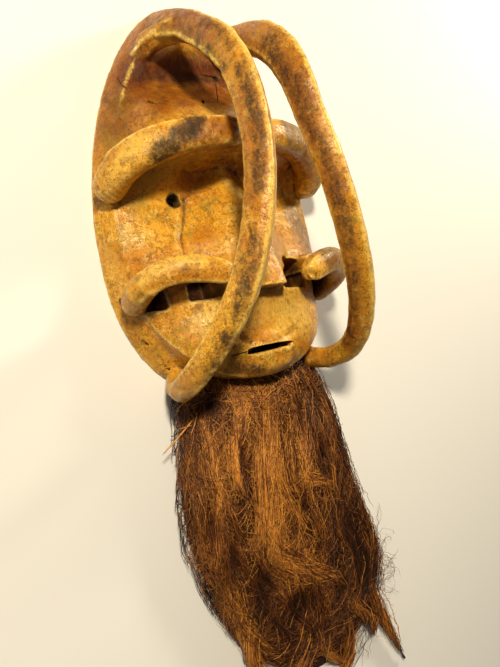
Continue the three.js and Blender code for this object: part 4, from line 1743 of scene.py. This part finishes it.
    def strands(self, name: str, groups: list[Group]) -> bpy.types.Object:
        """Makes closed, tapering three-sided strands as one mesh.

        Args:
            name: The piece's name.
            groups: Points (strand, step, coordinate, in millimetres), half thicknesses and tones.

        Returns:
            The mesh object.
        """
        points, radius, tone = (np.concatenate([group[k] for group in groups]) for k in range(3))
        deselect()
        bpy.ops.curve.primitive_bezier_circle_add(radius=1.0)
        profile = bpy.context.active_object
        profile.data.splines.clear()
        corner = profile.data.splines.new("POLY")
        corner.points.add(2)
        for point, angle in zip(corner.points, (90, 210, 330)):
            point.co = (math.cos(math.radians(angle)), math.sin(math.radians(angle)), 0, 1)
        corner.use_cyclic_u = True
        curve = bpy.data.curves.new(name, "CURVE")
        curve.dimensions = "3D"
        curve.bevel_mode = "OBJECT"
        curve.bevel_object = profile
        # A little jitter keeps the steps of a strand apart, since a curve drops a repeated point
        places = points + self.rng.normal(0, 0.03, points.shape)
        places[:, :, 1] -= ORIGIN_Y
        places *= MILLIMETRE
        steps = points.shape[1]
        taper = MILLIMETRE * np.array([0.0] + [1.0] * (steps - 4) + [0.9, 0.7, 0.0])
        weight = np.ones(steps)
        for line, half in zip(places, radius):
            spline = curve.splines.new("POLY")
            spline.points.add(steps - 1)
            spline.points.foreach_set("co", np.column_stack([line, weight]).astype(np.float32).ravel())
            spline.points.foreach_set("radius", (taper * half).astype(np.float32))
        obj = bpy.data.objects.new(name, curve)
        bpy.context.scene.collection.objects.link(obj)
        select_only(obj)
        bpy.ops.object.convert(target="MESH")
        obj = bpy.context.active_object
        bpy.data.objects.remove(profile)
        write_mask(obj.data, "tone", np.repeat(tone.ravel(), 3))
        # Each end has three corners in one place, which are merged to a closed tip
        bpy.ops.object.mode_set(mode="EDIT")
        bpy.ops.mesh.select_all(action="SELECT")
        bpy.ops.mesh.remove_doubles(threshold=0.001 * MILLIMETRE)
        bpy.ops.object.mode_set(mode="OBJECT")
        log.info("%s: %d strands, %d triangles", name, len(points), triangle_count(obj.data))
        return obj


@dataclass
class Studio:
    """Pale floor, soft lights and the camera at the picture's angle."""

    azimuth: float = 35.1
    elevation: float = -1.0
    roll: float = -10.6
    distance: float = 589.7
    target: Point = (24.1, -128.7, 0.0)
    focal_pixels: float = 625.0
    picture_height: float = 667.0
    sensor: float = 36.0

    def build(self) -> None:
        """Makes the floor, the lights and the camera."""
        self.camera()
        self.floor()
        self.light("key", (-482.0, 400.0, 1100.0), size=150.0, power=21.0, colour=(1.0, 0.87, 0.64))
        self.light("right", (890.0, 420.0, 500.0), size=180.0, power=8.0, colour=(1.0, 0.89, 0.68))
        self.light("left", (-900.0, -180.0, 480.0), size=420.0, power=0.6, colour=(1.0, 0.92, 0.80))
        world = bpy.data.worlds.new("studio")
        world.use_nodes = True
        background = world.node_tree.nodes["Background"]
        background.inputs["Color"].default_value = (0.95, 0.97, 1.0, 1.0)
        background.inputs["Strength"].default_value = 0.08
        bpy.context.scene.world = world
        bpy.context.scene.view_settings.view_transform = "Standard"

    def camera(self) -> None:
        """Puts the camera where the picture was taken from, looking down on the lying mask."""
        a, e, r = (math.radians(v) for v in (self.azimuth, self.elevation, self.roll))
        back = Vector((-math.sin(a) * math.cos(e), math.sin(e), math.cos(a) * math.cos(e)))
        right = (-back).cross(Vector((0, 1, 0))).normalized()
        up = right.cross(-back)
        x_axis = right * math.cos(r) + up * math.sin(r)
        y_axis = up * math.cos(r) - right * math.sin(r)
        data = bpy.data.cameras.new("camera")
        data.sensor_width = self.sensor
        data.lens = self.focal_pixels / self.picture_height * self.sensor
        camera = bpy.data.objects.new("camera", data)
        bpy.context.scene.collection.objects.link(camera)
        turn = Matrix((x_axis, y_axis, back)).transposed().to_4x4()
        spot = place(self.target) + back * self.distance * MILLIMETRE
        camera.matrix_world = Matrix.Translation(spot) @ turn
        bpy.context.scene.camera = camera

    def floor(self) -> None:
        """Lays the pale floor just under the mask's back rim."""
        deselect()
        bpy.ops.mesh.primitive_plane_add(size=6.0, location=(0, 0, -0.3 * MILLIMETRE))
        floor = bpy.context.active_object
        floor.name = "studio_floor"
        n = Nodes("pale_floor")
        n.shader.inputs["Base Color"].default_value = (0.78, 0.77, 0.75, 1.0)
        n.shader.inputs["Roughness"].default_value = 0.8
        floor.data.materials.append(n.material)

    def light(self, name: str, position: Point, size: float, power: float, colour: Point) -> None:
        """Adds a soft square light that looks at the mask's middle.

        Args:
            name: The light's name.
            position: Its place in millimetres.
            size: Its side in millimetres.
            power: Its strength in watts.
            colour: Its colour.
        """
        data = bpy.data.lights.new(name, "AREA")
        data.shape = "SQUARE"
        data.size = size * MILLIMETRE
        data.energy = power
        data.color = colour
        lamp = bpy.data.objects.new(name, data)
        bpy.context.scene.collection.objects.link(lamp)
        lamp.location = place(position)
        aim = place((0, -60, 40)) - lamp.location
        lamp.rotation_euler = aim.to_track_quat("-Z", "Y").to_euler()


def main() -> None:
    """Builds the mask, its beard and the studio, and notes the sizes."""
    logging.basicConfig(level=logging.INFO, format="%(name)s: %(message)s")
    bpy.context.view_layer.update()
    Studio().build()
    pieces = [MaskCarving().build(), *FibreBeard().build()]
    for piece in pieces:
        log.info("%s: %d faces", piece.name, len(piece.data.polygons))


if __name__ == "__main__":
    main()
